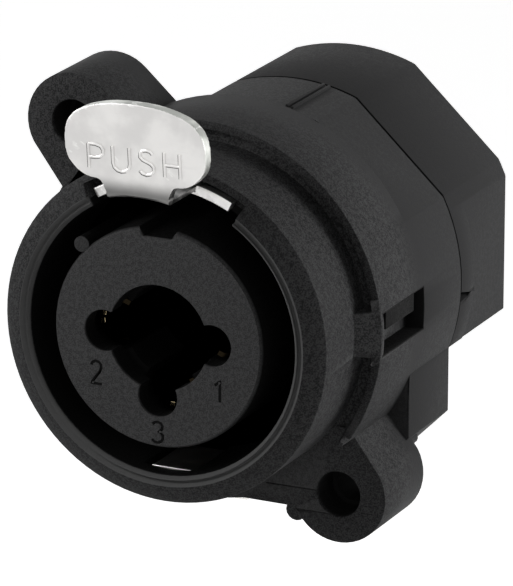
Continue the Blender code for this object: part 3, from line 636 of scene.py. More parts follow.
# Painted light on the shells: each zone and pocket below lays painted shade or a painted highlight.
SHELL_ZONES = (
    # Painted shade: the shells behind the ears darker and with less speckle, where the lamps' light falls
    # off.
    Zone(colour=(0.025, 0.025, 0.0255), depth=0.85, start_y=3.0 * MM, full_y=6.5 * MM),
    # Painted highlight: a lighter band on the rim's inner chamfer.
    Zone(colour=(0.13, 0.13, 0.13), depth=0.8, start_y=-7.5 * MM, full_y=-7.4 * MM, end_y=BORE_FRONT,
         reach=10.46 * MM),
    # Painted shade: the bore wall behind the rim near black.
    Zone(start_y=BORE_FRONT, full_y=-6.6 * MM, end_y=12.0 * MM, reach=10.3 * MM),
    # Painted shade inside the two screw holes.
    *(Zone(depth=0.85, start_y=0.0, full_y=0.5 * MM, end_y=6.0 * MM, reach=1.62 * MM,
           centre=(side * HOLE_PLACE[0], side * HOLE_PLACE[1])) for side in (1, -1)),
    # Painted shade inside the two side windows.
    Pocket(x=(12.0 * MM, 13.33 * MM), y=(-0.7 * MM, 6.3 * MM), z=(-1.5 * MM, 1.6 * MM)),
    Pocket(x=(-13.33 * MM, -12.0 * MM), y=(2.0 * MM, 6.3 * MM), z=(-1.5 * MM, 1.6 * MM)),
    # Painted shade in the parting gap between the front and rear shells.
    Pocket(y=(12.47 * MM, 12.74 * MM)),
)
# Painted shade: the insert's walls behind its face near black, deep in the bore.
INSERT_SHADE = Zone(start_y=-7.39 * MM, full_y=-7.15 * MM, end_y=8.0 * MM, reach=10.3 * MM)
# Painted shade: the contacts near black deeper than their front edges.
CONTACT_SHADE = Zone(colour=(0.012, 0.009, 0.005), start_y=-6.0 * MM, full_y=-5.0 * MM, end_y=8.0 * MM)
# Painted shade: the part of the latch arm behind the plate darkened.
ARM_SHADE = Pocket(x=(0.0, 3.0 * MM), y=(-9.8 * MM, -6.3 * MM), z=(9.9 * MM, 11.3 * MM),
                   colour=(0.03, 0.03, 0.03), depth=0.7)
# Painted shade: the latch neck darker towards its foot, above the dark collar.
NECK_SHADE = Zone(colour=(0.07, 0.07, 0.068), depth=0.85, start_y=-8.6 * MM, full_y=-9.2 * MM,
                  start_z=11.9 * MM, full_z=10.6 * MM)

FINISHES = {
    Coat.SHELL: MouldedFinish(
        "moulded_black_grained", (0.017, 0.017, 0.0175), (0.061, 0.061, 0.062), (0.12, 0.12, 0.12),
        zones=SHELL_ZONES),
    Coat.INSERT: MouldedFinish(
        "insert_black_satin", (0.042, 0.042, 0.043), (0.086, 0.086, 0.087), (0.1, 0.1, 0.1),
        grains_per_metre=11000.0, grain_depth=0.02 * MM, wear_amount=0.0, zones=(INSERT_SHADE,)),
    Coat.CARRIER: MouldedFinish(
        "carrier_black", (0.018, 0.018, 0.0185), (0.04, 0.04, 0.041), (0.09, 0.09, 0.09)),
    # Painted shade: near-black for the floors of the engraved numbers.
    Coat.GROOVE_SHADE: MouldedFinish(
        "groove_painted_shade_black", (0.002, 0.002, 0.002), (0.006, 0.006, 0.006), (0.01, 0.01, 0.01)),
    Coat.LATCH: CastMetalFinish(
        "cast_nickel_dull", (0.76, 0.75, 0.735), (0.65, 0.64, 0.63), (0.88, 0.88, 0.86),
        zones=(NECK_SHADE, ARM_SHADE)),
    # Painted shade: the latch finish darker, laid on the plate's side faces.
    Coat.LATCH_SHADED_SIDE: CastMetalFinish(
        "cast_nickel_painted_shade_side", (0.62, 0.63, 0.6), (0.3, 0.31, 0.29), (0.8, 0.8, 0.78)),
    # Painted shadow: near-black nickel for the sheet under the raised word.
    Coat.LATCH_PAINTED_SHADOW: CastMetalFinish(
        "cast_nickel_painted_shadow", (0.05, 0.05, 0.05), (0.02, 0.02, 0.02), (0.1, 0.1, 0.1)),
    Coat.CONTACT: PlatedStripFinish(
        "gold_plate_drawn", (0.9, 0.66, 0.3), (0.78, 0.54, 0.22), 0.2, 0.34, zones=(CONTACT_SHADE,)),
    # Painted glint: lighter gold for the bars on the clips' front edges.
    Coat.CONTACT_GLINT: PlatedStripFinish(
        "gold_plate_painted_glint", (0.95, 0.82, 0.55), (0.88, 0.7, 0.4), 0.22, 0.34),
    Coat.STRIP: PlatedStripFinish(
        "tinned_strip_drawn", (0.78, 0.77, 0.74), (0.66, 0.65, 0.63), 0.28, 0.42),
}


# Meshes


def on_circle(radius: float, degrees: float, centre: Point = (0.0, 0.0)) -> Point:
    """A point on a circle in the (x, z) plane."""
    angle = math.radians(degrees)
    return centre[0] + radius * math.cos(angle), centre[1] + radius * math.sin(angle)


def arc(radius: float, start: float, end: float, steps: int,
        centre: Point = (0.0, 0.0)) -> list[Point]:
    """Points along an arc, with both its ends, in degrees."""
    return [on_circle(radius, start + (end - start) * i / steps, centre) for i in range(steps + 1)]


def box(left: float, right: float, bottom: float, top: float) -> list[Point]:
    """The corners of an upright box in the (x, z) plane."""
    return [(left, bottom), (right, bottom), (right, top), (left, top)]


def rounded_loop(points: Sequence[Point], steps: int) -> list[Point]:
    """A smooth closed curve through the points.

    Args:
        points: The points of the loop, in order.
        steps: Pieces between two of them.

    Returns:
        The points of the smooth loop.
    """
    count = len(points)
    smooth = []
    for i in range(count):
        before, start, end, after = (Vector(points[(i + k) % count]) for k in (-1, 0, 1, 2))
        for step in range(steps):
            t = step / steps
            place = 0.5 * (2.0 * start + (end - before) * t
                           + (2.0 * before - 5.0 * start + 4.0 * end - after) * t * t
                           + (3.0 * start - before - 3.0 * end + after) * t ** 3)
            smooth.append((place.x, place.y))
    return smooth


def add_skin(work: bmesh.types.BMesh, rings: Sequence[Sequence[bmesh.types.BMVert]]) -> None:
    """Adds a closed skin over rings of corners, with a cap at both ends.

    Args:
        work: The mesh that it is added to.
        rings: The rings, each with as many corners as the others.
    """
    faces = [work.faces.new(rings[0]), work.faces.new(list(reversed(rings[-1])))]
    for first, second in zip(rings, rings[1:]):
        for k in range(len(first)):
            after = (k + 1) % len(first)
            faces.append(work.faces.new((first[k], second[k], second[after], first[after])))
    bmesh.ops.recalc_face_normals(work, faces=faces)


def add_prism(work: bmesh.types.BMesh, outline: Sequence[Point], front: float,
              back: float) -> list[bmesh.types.BMVert]:
    """Adds a closed prism of an (x, z) outline between two y stations.

    Args:
        work: The mesh that it is added to.
        outline: The corners of the outline, in order.
        front: The y of its front face.
        back: The y of its back face.

    Returns:
        The new corners.
    """
    rings = [[work.verts.new((x, y, z)) for x, z in outline] for y in (front, back)]
    add_skin(work, rings)
    return rings[0] + rings[1]


def add_stroke(work: bmesh.types.BMesh, path: Sequence[Vector], radius: float, flat: float,
               sides: int = 10) -> None:
    """Adds a closed round rod along a path that lies across the Y axis.

    Args:
        work: The mesh that it is added to.
        path: The points of its centre line.
        radius: Its radius across the stroke.
        flat: Its depth along Y, as a share of the radius.
        sides: Corners of its section.
    """
    rings = []
    for i, point in enumerate(path):
        ahead, behind = path[min(i + 1, len(path) - 1)], path[max(i - 1, 0)]
        along = Vector((ahead.x - behind.x, 0.0, ahead.z - behind.z)).normalized()
        across = Vector((-along.z, 0.0, along.x))
        ring = []
        for k in range(sides):
            turn = 2.0 * math.pi * k / sides
            ring.append(work.verts.new(point + across * radius * math.cos(turn)
                                       + Vector((0.0, 1.0, 0.0)) * radius * flat * math.sin(turn)))
        rings.append(ring)
    add_skin(work, rings)


def filled_plate(name: str, loops: Sequence[Sequence[Point]], front: float, back: float,
                 ease: float) -> bpy.types.Object:
    """A plate with holes and eased edges, from closed (x, z) loops.

    Args:
        name: The piece's name.
        loops: The outer edge, then the holes.
        front: The y of its front face.
        back: The y of its back face.
        ease: The radius of its edges.

    Returns:
        The new object.
    """
    curve = bpy.data.curves.new(name, "CURVE")
    curve.dimensions = "2D"
    curve.fill_mode = "BOTH"
    curve.extrude = (back - front) / 2.0 - ease
    curve.bevel_depth = ease
    curve.bevel_resolution = 2
    curve.offset = -ease
    for loop in loops:
        spline = curve.splines.new("POLY")
        spline.points.add(len(loop) - 1)
        for point, (x, z) in zip(spline.points, loop):
            point.co = (x, z, 0.0, 1.0)
        spline.use_cyclic_u = True
    guide = bpy.data.objects.new(name, curve)
    bpy.context.scene.collection.objects.link(guide)
    mesh = bpy.data.meshes.new_from_object(guide.evaluated_get(bpy.context.evaluated_depsgraph_get()))
    bpy.data.objects.remove(guide, do_unlink=True)
    middle = (front + back) / 2.0
    for corner in mesh.vertices:
        x, z, depth = corner.co
        corner.co = (x, middle - depth, z)
    work = bmesh.new()
    work.from_mesh(mesh)
    bmesh.ops.remove_doubles(work, verts=work.verts, dist=1e-7)
    bmesh.ops.recalc_face_normals(work, faces=work.faces)
    return as_piece(name, work)


def as_piece(name: str, work: bmesh.types.BMesh) -> bpy.types.Object:
    """Turns the working mesh into an object of the scene.

    Args:
        name: The piece's name.
        work: The working mesh, which is freed.

    Returns:
        The new object.
    """
    mesh = bpy.data.meshes.new(name)
    work.to_mesh(mesh)
    work.free()
    made = bpy.data.objects.new(name, mesh)
    bpy.context.scene.collection.objects.link(made)
    return made


def bake_modifiers(piece: bpy.types.Object) -> None:
    """Replaces the piece's mesh by what its modifiers make of it."""
    graph = bpy.context.evaluated_depsgraph_get()
    mesh = bpy.data.meshes.new_from_object(piece.evaluated_get(graph))
    piece.modifiers.clear()
    piece.data = mesh


def welded(source: bpy.types.Mesh, gap: float) -> bmesh.types.BMesh:
    """A working copy of a mesh, with corners that nearly meet joined.

    Args:
        source: The mesh that is copied.
        gap: The widest gap that is closed, in metres.

    Returns:
        The working mesh.
    """
    work = bmesh.new()
    work.from_mesh(source)
    bmesh.ops.remove_doubles(work, verts=work.verts, dist=gap)
    return work


def eased(name: str, work: bmesh.types.BMesh, width: float, segments: int) -> bpy.types.Object:
    """Turns the working mesh into an object with rounded edges.

    Args:
        name: The piece's name.
        work: The working mesh, which is freed.
        width: The width of the rounding.
        segments: Its facets.

    Returns:
        The new object.
    """
    piece = as_piece(name, work)
    ease = piece.modifiers.new("eased", "BEVEL")
    ease.width = width
    ease.segments = segments
    bake_modifiers(piece)
    return piece


def shade_smooth(piece: bpy.types.Object, degrees: float) -> None:
    """Shades the piece smooth, with sharp edges above an angle."""
    piece.data.shade_smooth()
    piece.data.set_sharp_from_angle(angle=math.radians(degrees))


@dataclass(frozen=True)
class Dresser:
    """Gives pieces their finish and the body that they ride on."""

    materials: dict[Coat, bpy.types.Material]

    @classmethod
    def build(cls) -> "Dresser":
        """Builds every finish once."""
        groups = EffectGroups.build()
        return cls({coat: finish.build(groups) for coat, finish in FINISHES.items()})

    def coat(self, piece: bpy.types.Object, coat: Coat) -> None:
        """Gives an object its finish.

        Args:
            piece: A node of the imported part, or a new piece.
            coat: Its finish.
        """
        piece.data.materials.clear()
        piece.data.materials.append(self.materials[coat])
        LOG.info("%s: %s", piece.name, coat.value)

    def piece(self, piece: bpy.types.Object, coat: Coat, body: Body) -> None:
        """Gives a new piece its finish and its body.

        Args:
            piece: The piece's object.
            coat: Its finish.
            body: The body that it rides on.
        """
        self.coat(piece, coat)
        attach(piece, body.value)


# Lettering strokes, in a cell one unit high whose left foot is (0, 0)

STROKE_STEP = 0.12 * MM

LETTER_STROKES: dict[str, tuple[float, list[list[Point]]]] = {
    "P": (0.62, [[(0.0, 0.0), (0.0, 1.0)],
                 [(0.0, 1.0), (0.3, 1.0), (0.5, 0.94), (0.6, 0.78), (0.58, 0.62), (0.46, 0.5),
                  (0.28, 0.46), (0.0, 0.46)]]),
    "U": (0.66, [[(0.0, 1.0), (0.0, 0.32), (0.05, 0.14), (0.18, 0.03), (0.33, 0.0), (0.48, 0.03),
                  (0.61, 0.14), (0.66, 0.32), (0.66, 1.0)]]),
    "S": (0.6, [[(0.57, 0.86), (0.48, 0.96), (0.32, 1.0), (0.14, 0.96), (0.04, 0.84), (0.05, 0.69),
                 (0.16, 0.59), (0.32, 0.53), (0.48, 0.46), (0.59, 0.34), (0.59, 0.18), (0.48, 0.05),
                 (0.3, 0.0), (0.12, 0.04), (0.02, 0.14)]]),
    "H": (0.64, [[(0.0, 0.0), (0.0, 1.0)], [(0.64, 0.0), (0.64, 1.0)], [(0.0, 0.5), (0.64, 0.5)]]),
    "1": (0.3, [[(0.0, 0.76), (0.16, 0.86), (0.28, 1.0), (0.28, 0.0)]]),
    "2": (0.52, [[(0.02, 0.8), (0.08, 0.93), (0.22, 1.0), (0.38, 0.97), (0.48, 0.86), (0.49, 0.72),
                  (0.42, 0.56), (0.22, 0.3), (0.02, 0.02), (0.52, 0.02)]]),
    "3": (0.52, [[(0.03, 0.86), (0.14, 0.97), (0.28, 1.0), (0.42, 0.95), (0.49, 0.83), (0.46, 0.67),
                  (0.38, 0.58), (0.3, 0.54)],
                 [(0.3, 0.54), (0.41, 0.49), (0.5, 0.38), (0.51, 0.22), (0.42, 0.07), (0.27, 0.0),
                  (0.12, 0.03), (0.01, 0.14)]]),
}


def letter_paths(letter: str, left: float, foot: float, height: float,
                 width: float) -> list[list[Point]]:
    """The strokes of a letter at its size and place.

    Args:
        letter: The letter or digit.
        left: The x of its left side.
        foot: The z of its foot.
        height: Its height.
        width: Its width.

    Returns:
        The strokes as (x, z) points.
    """
    cell, strokes = LETTER_STROKES[letter]
    return [[(left + u / cell * width, foot + v * height) for u, v in stroke] for stroke in strokes]


def refined(path: Sequence[Point]) -> list[Point]:
    """The path with points no further apart than the stroke step."""
    fine = [path[0]]
    for start, end in zip(path, path[1:]):
        pieces = max(1, math.ceil(math.dist(start, end) / STROKE_STEP))
        fine += [(start[0] + (end[0] - start[0]) * i / pieces,
                  start[1] + (end[1] - start[1]) * i / pieces) for i in range(1, pieces + 1)]
    return fine


@dataclass
class PushLatch:
    """The cast latch: push plate with its raised word, neck, arm with the hook, and the wings."""

    plate_front: float = -10.7 * MM
    plate_thickness: float = 0.9 * MM
    lean: float = 0.1
    lean_z: float = 13.0 * MM
    top: float = 16.98 * MM
    half_width: float = 5.08 * MM
    bottom: float = 11.5 * MM
    neck_half_width: float = 2.5 * MM
    neck_bottom: float = 10.55 * MM
    arm_inner: float = 10.34 * MM
    arm_thickness: float = 0.41 * MM
    arm_half_width: float = 2.3 * MM
    arm_front: float = -10.4 * MM
    arm_back: float = 3.4 * MM
    hook_tip: float = 8.8 * MM
    hook_half_width: float = 1.7 * MM
    wing_radius: float = 10.42 * MM
    wing_height: float = 0.7 * MM
    wing_right: float = 4.7 * MM
    wing_left: float = 5.15 * MM
    wing_front: float = -6.2 * MM
    wing_back: float = -5.4 * MM
    letter_foot: float = 12.22 * MM
    letter_height: float = 1.7 * MM
    stroke_radius: float = 0.115 * MM
    stroke_rise: float = 0.1 * MM
    # The painted shadow under the word: a wider dark stroke just proud of the plate, moved left and down.
    shadow_radius: float = 0.2 * MM
    shadow_rise: float = 0.012 * MM
    stroke_flat: float = 1.2
    grime_shift: Point = (-0.06 * MM, -0.02 * MM)
    shadow_flat: float = 0.4
    voxel: float = 0.065 * MM
    smoothing: float = 0.5
    smoothing_rounds: int = 3
    kept_faces: float = 0.55
    arm_steps: int = 10
    wing_steps: int = 16
    # Faces turned further than this from the front take the painted-shade side finish.
    shaded_side_turn: float = 0.55
    letters: tuple[tuple[str, float, float], ...] = (
        ("P", -3.36 * MM, 1.12 * MM), ("U", -1.6 * MM, 1.22 * MM), ("S", 0.32 * MM, 1.05 * MM),
        ("H", 2.14 * MM, 1.12 * MM))

    def plate_outline(self) -> list[Point]:
        """The plate's smooth outline seen from the front, without its neck."""
        w, top, low = self.half_width, self.top, self.bottom
        half = [(0.0, top), (1.2 * MM, top - 0.04 * MM), (2.3 * MM, top - 0.2 * MM),
                (3.5 * MM, top - 0.55 * MM), (4.35 * MM, top - 1.05 * MM), (4.88 * MM, top - 1.75 * MM),
                (w, top - 2.6 * MM), (w, top - 3.55 * MM), (w - 0.16 * MM, top - 4.2 * MM),
                (4.6 * MM, low + 0.82 * MM), (3.95 * MM, low + 0.26 * MM), (3.1 * MM, low + 0.02 * MM),
                (1.6 * MM, low)]
        return rounded_loop(half + [(-x, z) for x, z in reversed(half[1:])], steps=5)

    def leaned(self, corners: Sequence[bmesh.types.BMVert]) -> None:
        """Leans corners forward with their height, as the plate stands."""
        for corner in corners:
            corner.co.y -= (corner.co.z - self.lean_z) * self.lean

    def add_plate(self, work: bmesh.types.BMesh) -> None:
        """Adds the push plate, its neck and the fillets between them."""
        back = self.plate_front + self.plate_thickness
        self.leaned(add_prism(work, self.plate_outline(), self.plate_front, back))
        n, low, foot = self.neck_half_width, self.bottom, self.neck_bottom
        right = [(n, low + 0.6 * MM), (n + 0.62 * MM, low + 0.12 * MM), (n + 0.28 * MM, low),
                 (n + 0.06 * MM, low - 0.22 * MM), (n - 0.08 * MM, low - 0.5 * MM),
                 (n - 0.2 * MM, foot + 0.2 * MM), (n - 0.24 * MM, foot)]
        neck = [(-n, low + 0.6 * MM)] + right + [(-x, z) for x, z in reversed(right[1:])]
        self.leaned(add_prism(work, neck, self.plate_front + 0.01 * MM, back - 0.01 * MM))

    def add_arm(self, work: bmesh.types.BMesh) -> None:
        """Adds the arched arm, swept along Y with its rounded nose and its hook."""
        inner, front = self.arm_inner, self.arm_front
        outer = inner + self.arm_thickness
        lowered = (inner - 0.34 * MM, outer - 0.3 * MM)
        stations = [(front, outer - 0.1 * MM, outer), (front + 0.1 * MM, inner + 0.16 * MM, outer),
                    (front + 0.3 * MM, inner + 0.05 * MM, outer), (front + 0.6 * MM, inner, outer),
                    (-4.6 * MM, inner, outer), (-3.0 * MM, *lowered), (self.arm_back, *lowered)]
        spread = math.degrees(math.asin(self.arm_half_width / outer))
        start, end, steps = 90.0 - spread, 90.0 + spread, self.arm_steps
        add_skin(work, [[work.verts.new((x, y, z)) for x, z in
                         arc(high, start, end, steps) + arc(low, end, start, steps)]
                        for y, low, high in stations])
        root, tip, back = inner - 0.1 * MM, self.hook_tip, 2.8 * MM
        hook = [(0.6 * MM, root), (0.8 * MM, inner - 0.55 * MM), (2.2 * MM, tip), (back, tip), (back, root)]
        add_skin(work, [[work.verts.new((x, y, z)) for y, z in hook]
                        for x in (-self.hook_half_width, self.hook_half_width)])

    def add_wings(self, work: bmesh.types.BMesh) -> None:
        """Adds the two wings that the latch rocks on."""
        radius, half, steps = self.wing_radius, self.wing_height / 2, self.wing_steps
        start = 90.0 - math.degrees(math.asin(self.wing_right / radius))
        end = 90.0 + math.degrees(math.asin(self.wing_left / radius))
        bar = arc(radius + half, start, end, steps) + arc(radius - half, end, start, steps)
        add_prism(work, bar, self.wing_front, self.wing_back)

    def word(self, name: str, radius: float, rise: float, shift: Point, flat: float) -> bpy.types.Object:
        """The strokes of the word on the plate, as one piece.

        Args:
            name: The piece's name.
            radius: The half width of a stroke.
            rise: How far the strokes stand proud of the plate.
            shift: How far they are moved, in x and z.
            flat: Their depth, as a share of the radius.

        Returns:
            The piece.
        """
        work = bmesh.new()
        sink = radius * flat - rise
        for letter, left, width in self.letters:
            for path in letter_paths(letter, left + shift[0], self.letter_foot + shift[1],
                                     self.letter_height, width):
                line = [Vector((x, self.plate_front + sink - (z - self.lean_z) * self.lean, z))
                        for x, z in refined(path)]
                add_stroke(work, line, radius, flat)
        return as_piece(name, work)

    def build(self, dresser: Dresser) -> None:
        """Builds the latch as one casting with eased corners, which stands for the plain one.

        Args:
            dresser: What gives it its finish.
        """
        work = bmesh.new()
        self.add_plate(work)
        self.add_arm(work)
        self.add_wings(work)
        latch = as_piece("push_latch", work)
        cast = latch.modifiers.new("one_casting", "REMESH")
        cast.mode = "VOXEL"
        cast.voxel_size = self.voxel
        ease = latch.modifiers.new("eased_corners", "SMOOTH")
        ease.factor = self.smoothing
        ease.iterations = self.smoothing_rounds
        bake_modifiers(latch)
        fewer = latch.modifiers.new("fewer_faces", "DECIMATE")
        fewer.ratio = self.kept_faces
        bake_modifiers(latch)
        shade_smooth(latch, 180.0)
        dresser.piece(latch, Coat.LATCH, Body.LATCH)
        # Painted shade: the plate's side faces take a darker copy of the latch finish.
        latch.data.materials.append(dresser.materials[Coat.LATCH_SHADED_SIDE])
        for face in latch.data.polygons:
            side = abs(face.normal.y) < self.shaded_side_turn and face.center.z > self.bottom
            face.material_index = 1 if side else 0
        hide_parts("latch_lever")
        # Painted shadow: a wider, darker copy of the word, moved left and down, outlines the letters.
        word_shadow = self.word("word_painted_shadow", self.shadow_radius, self.shadow_rise, self.grime_shift,
                          self.shadow_flat)
        dresser.piece(word_shadow, Coat.LATCH_PAINTED_SHADOW, Body.LATCH)
        word = self.word("raised_word", self.stroke_radius, self.stroke_rise, (0.0, 0.0),
                         self.stroke_flat)
        shade_smooth(word, 50.0)
        dresser.piece(word, Coat.LATCH, Body.LATCH)


@dataclass
class InsertFace:
    """The face of the contact insert, with eased holes and the contact numbers cut into it."""

    front: float = -7.46 * MM
    back: float = -7.38 * MM
    ease: float = 0.03 * MM
    radius: float = 7.5 * MM
    key_floor: float = 6.94 * MM
    key_floor_half: float = 1.03 * MM
    key_top_half: float = 1.42 * MM
    jack_radius: float = 3.68 * MM
    pin_radius: float = 1.45 * MM
    pin_x: float = 3.95 * MM
    pin_z: float = -4.05 * MM
    groove_half: float = 0.1 * MM
    floor_front: float = -7.41 * MM
    rim_steps: int = 96
    pin_steps: int = 24
    bore_steps: int = 28
    numbers: tuple[tuple[str, float, float, float, float], ...] = (
        ("1", 4.2 * MM, -3.84 * MM, 1.5 * MM, 0.42 * MM),
        ("2", -4.94 * MM, -3.82 * MM, 1.62 * MM, 0.82 * MM),
        ("3", -0.43 * MM, -7.3 * MM, 1.45 * MM, 0.84 * MM))

    def rim(self) -> list[Point]:
        """The outer edge, with the key way at the top."""
        top_z = math.sqrt(self.radius ** 2 - self.key_top_half ** 2)
        start = math.degrees(math.atan2(top_z, -self.key_top_half))
        end = 360.0 + math.degrees(math.atan2(top_z, self.key_top_half))
        floor = [(self.key_floor_half, self.key_floor), (-self.key_floor_half, self.key_floor)]
        return arc(self.radius, start, end, self.rim_steps) + floor

    def clover(self) -> list[Point]:
        """The jack bore with the three pin holes that open into it."""
        bore, pin = self.jack_radius, self.pin_radius
        holes = []
        for x, z in ((self.pin_x, 0.0), (-self.pin_x, 0.0), (0.0, self.pin_z)):
            facing = math.degrees(math.atan2(z, x)) % 360.0
            reach = math.hypot(x, z)
            inset = (reach ** 2 + bore ** 2 - pin ** 2) / (2.0 * reach)
            half = math.degrees(math.acos(inset / bore))
            opening = math.degrees(math.atan2(bore * math.sin(math.radians(half)), inset - reach))
            edge = arc(pin, facing - opening, facing + opening, self.pin_steps, (x, z))
            holes.append((facing, half, edge))
        holes.sort(key=lambda hole: hole[0])
        points = []
        for i, (facing, half, edge) in enumerate(holes):
            after = holes[(i + 1) % len(holes)]
            stop = after[0] - after[1] + (360.0 if i == len(holes) - 1 else 0.0)
            points += edge + arc(bore, facing + half, stop, self.bore_steps)[1:-1]
        return points

    def groove(self, path: Sequence[Point]) -> list[Point]:
        """The outline of one engraved stroke.

        Args:
            path: The points of its centre line.

        Returns:
            The corners of the stroke, round it.
        """
        left, right = [], []
        for i, (x, z) in enumerate(path):
            ahead, behind = path[min(i + 1, len(path) - 1)], path[max(i - 1, 0)]
            length = math.dist(ahead, behind)
            across_x = (behind[1] - ahead[1]) / length * self.groove_half
            across_z = (ahead[0] - behind[0]) / length * self.groove_half
            left.append((x + across_x, z + across_z))
            right.append((x - across_x, z - across_z))
        return left + right[::-1]

    def build(self, dresser: Dresser) -> None:
        """Builds the face, and near-black floors in its numbers that paint the shade of the grooves.

        Args:
            dresser: What gives them their finish.
        """
        grooves = []
        for number, left, foot, height, width in self.numbers:
            strokes = letter_paths(number, left, foot, height, width)
            path = strokes[0] + [point for stroke in strokes[1:] for point in stroke[1:]]
            grooves.append(self.groove(refined(path)))
        face = filled_plate("insert_face", [self.rim(), self.clover(), *grooves], self.front, self.back,
                            self.ease)
        dresser.piece(face, Coat.INSERT, Body.HOUSING)
        # Painted shade: dark floors just behind the face in each engraved number.
        floors = bmesh.new()
        for groove in grooves:
            add_prism(floors, groove, self.floor_front, self.back)
        dresser.piece(as_piece("number_shade_floors", floors), Coat.GROOVE_SHADE, Body.HOUSING)


@dataclass
class PaintedContactGlints:
    """Small bars on the front edges of the contact clips, in a lighter gold that paints their glint inside
    the pin holes.
    """

    clip_front: float = -4.9 * MM
    proud: float = 0.09 * MM
    seat: float = 0.02 * MM
    ease: float = 0.02 * MM
    inner: float = 1.12 * MM
    outer: float = 1.44 * MM
    half_height: float = 0.16 * MM
    tips: tuple[tuple[Point, float], ...] = (
        ((-3.95 * MM, 0.0), 161.0), ((-3.95 * MM, 0.0), 186.0), ((0.0, -4.05 * MM), -93.0))

    def build(self, dresser: Dresser) -> None:
        """Builds the tips as one piece, seated on the front edges of the clips.

        Args:
            dresser: What gives them their finish.
        """
        work = bmesh.new()
        half = self.half_height
        for (x, z), facing in self.tips:
            cos, sin = math.cos(math.radians(facing)), math.sin(math.radians(facing))
            outline = [(x + cos * r - sin * side, z + sin * r + cos * side)
                       for r, side in box(self.inner, self.outer, -half, half)]
            add_prism(work, outline, self.clip_front - self.proud, self.clip_front + self.seat)
        # Painted glint: the bars take the lighter gold.
        dresser.piece(eased("contact_painted_glints", work, self.ease, segments=2), Coat.CONTACT_GLINT, Body.HOUSING)


@dataclass
class GroundLip:
    """The bright front lip of the ground spring, low in the bore."""

    half_width: float = 1.45 * MM
    bottom: float = -10.05 * MM
    top: float = -9.68 * MM
    front: float = -5.36 * MM
    back: float = -5.17 * MM
    ease: float = 0.05 * MM

    def build(self, dresser: Dresser) -> None:
        """Builds the lip, seated on the spring's front end.

        Args:
            dresser: What gives it its finish.
        """
        work = bmesh.new()
        corners = box(-self.half_width, self.half_width, self.bottom, self.top)
        add_prism(work, corners, self.front, self.back)
        lip = eased("ground_lip", work, self.ease, segments=3)
        shade_smooth(lip, 40.0)
        dresser.piece(lip, Coat.LATCH, Body.HOUSING)


@dataclass
class LatchLeaf:
    """The leaf spring over the latch arm, which bends as the arm lifts its free end."""

    node: str = "latch_spring"
    free_end: tuple[float, float, float] = (0.0, 3.0 * MM, 10.7 * MM)
    held_end: tuple[float, float, float] = (0.0, 6.4 * MM, 10.7 * MM)
    bends: int = 10
    off_corner: float = 0.013 * MM

    def build(self, frame: dict, dresser: Dresser) -> None:
        """Builds the leaf, cut finely enough to bend, which stands for the plain one.

        Args:
            frame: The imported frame.
            dresser: What gives it its finish.
        """
        work = welded(frame["nodes"][self.node].data, WELD_GAP)
        for i in range(self.bends + 1):
            y = self.free_end[1] + (self.held_end[1] - self.free_end[1]) * i / self.bends
            bmesh.ops.bisect_plane(work, geom=work.verts[:] + work.edges[:] + work.faces[:], dist=1e-9,
                                   plane_co=(0.0, y + self.off_corner, 0.0), plane_no=(0.0, 1.0, 0.0))
        leaf = as_piece("latch_leaf", work)
        shade_smooth(leaf, 40.0)
        dresser.coat(leaf, Coat.STRIP)
        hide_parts(self.node)
        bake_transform(leaf)


def lathe(name: str, profile: Sequence[Point], steps: int, start: float = 0.0,
          end: float = 360.0) -> bpy.types.Object:
    """A solid of revolution round the Y axis, or a sector of one.

    Args:
        name: The object's name.
        profile: The corners of its section, as (radius, y).
        steps: Facets round the axis.
        start: Where the sector begins, in degrees.
        end: Where it ends.

    Returns:
        The new object.
    """
    work = bmesh.new()
    whole = end - start >= 360.0
    rings = []
    for i in range(steps + (0 if whole else 1)):
        turn = math.radians(start + (end - start) * i / steps)
        rings.append([work.verts.new((r * math.cos(turn), y, r * math.sin(turn))) for r, y in profile])
    count = len(profile)
    for ring, beside in zip(rings, rings[1:] + rings[:1] if whole else rings[1:]):
        for k in range(count):
            work.faces.new((ring[k], ring[(k + 1) % count], beside[(k + 1) % count], beside[k]))
    if not whole:
        work.faces.new(rings[0])
        work.faces.new(rings[-1])
    bmesh.ops.recalc_face_normals(work, faces=work.faces)
    return as_piece(name, work)


@dataclass
class MouldedShell:
    """One moulded shell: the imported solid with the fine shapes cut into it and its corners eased."""

    node: str
    name: str
    ease: float = 0.05 * MM
    corner: float = 38.0
    smooth: float = 24.0
    flat: float = 0.4
    sliver: float = 0.003 * MM

    def cutters(self) -> list[bpy.types.Object]:
        """The solids that are cut out of the shell."""
        return []

    def build(self, frame: dict, dresser: Dresser) -> None:
        """Builds the shell, which stands for the plain one.

        Args:
            frame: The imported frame.
            dresser: What gives it its finish.
        """
        shell = as_piece(self.name, welded(frame["nodes"][self.node].data, WELD_GAP))
        for cutter in self.cutters():
            cut = shell.modifiers.new("cut", "BOOLEAN")
            cut.operation = "DIFFERENCE"
            cut.solver = "EXACT"
            cut.object = cutter
            bake_modifiers(shell)
            bpy.data.objects.remove(cutter, do_unlink=True)
        work = welded(shell.data, self.sliver)
        bmesh.ops.dissolve_degenerate(work, edges=work.edges, dist=WELD_GAP)
        bmesh.ops.dissolve_limit(work, angle_limit=math.radians(self.flat), verts=work.verts,
                                 edges=work.edges)
        work.to_mesh(shell.data)
        work.free()
        edges = shell.modifiers.new("eased_edges", "BEVEL")
        edges.width = self.ease
        edges.segments = 2
        edges.limit_method = "ANGLE"
        edges.angle_limit = math.radians(self.corner)
        edges.use_clamp_overlap = False
        bake_modifiers(shell)
        work = bmesh.new()
        work.from_mesh(shell.data)
        bmesh.ops.triangulate(work, faces=work.faces)
        work.to_mesh(shell.data)
        work.free()
        shade_smooth(shell, self.smooth)
        dresser.piece(shell, Coat.SHELL, Body.HOUSING)
        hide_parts(self.node)


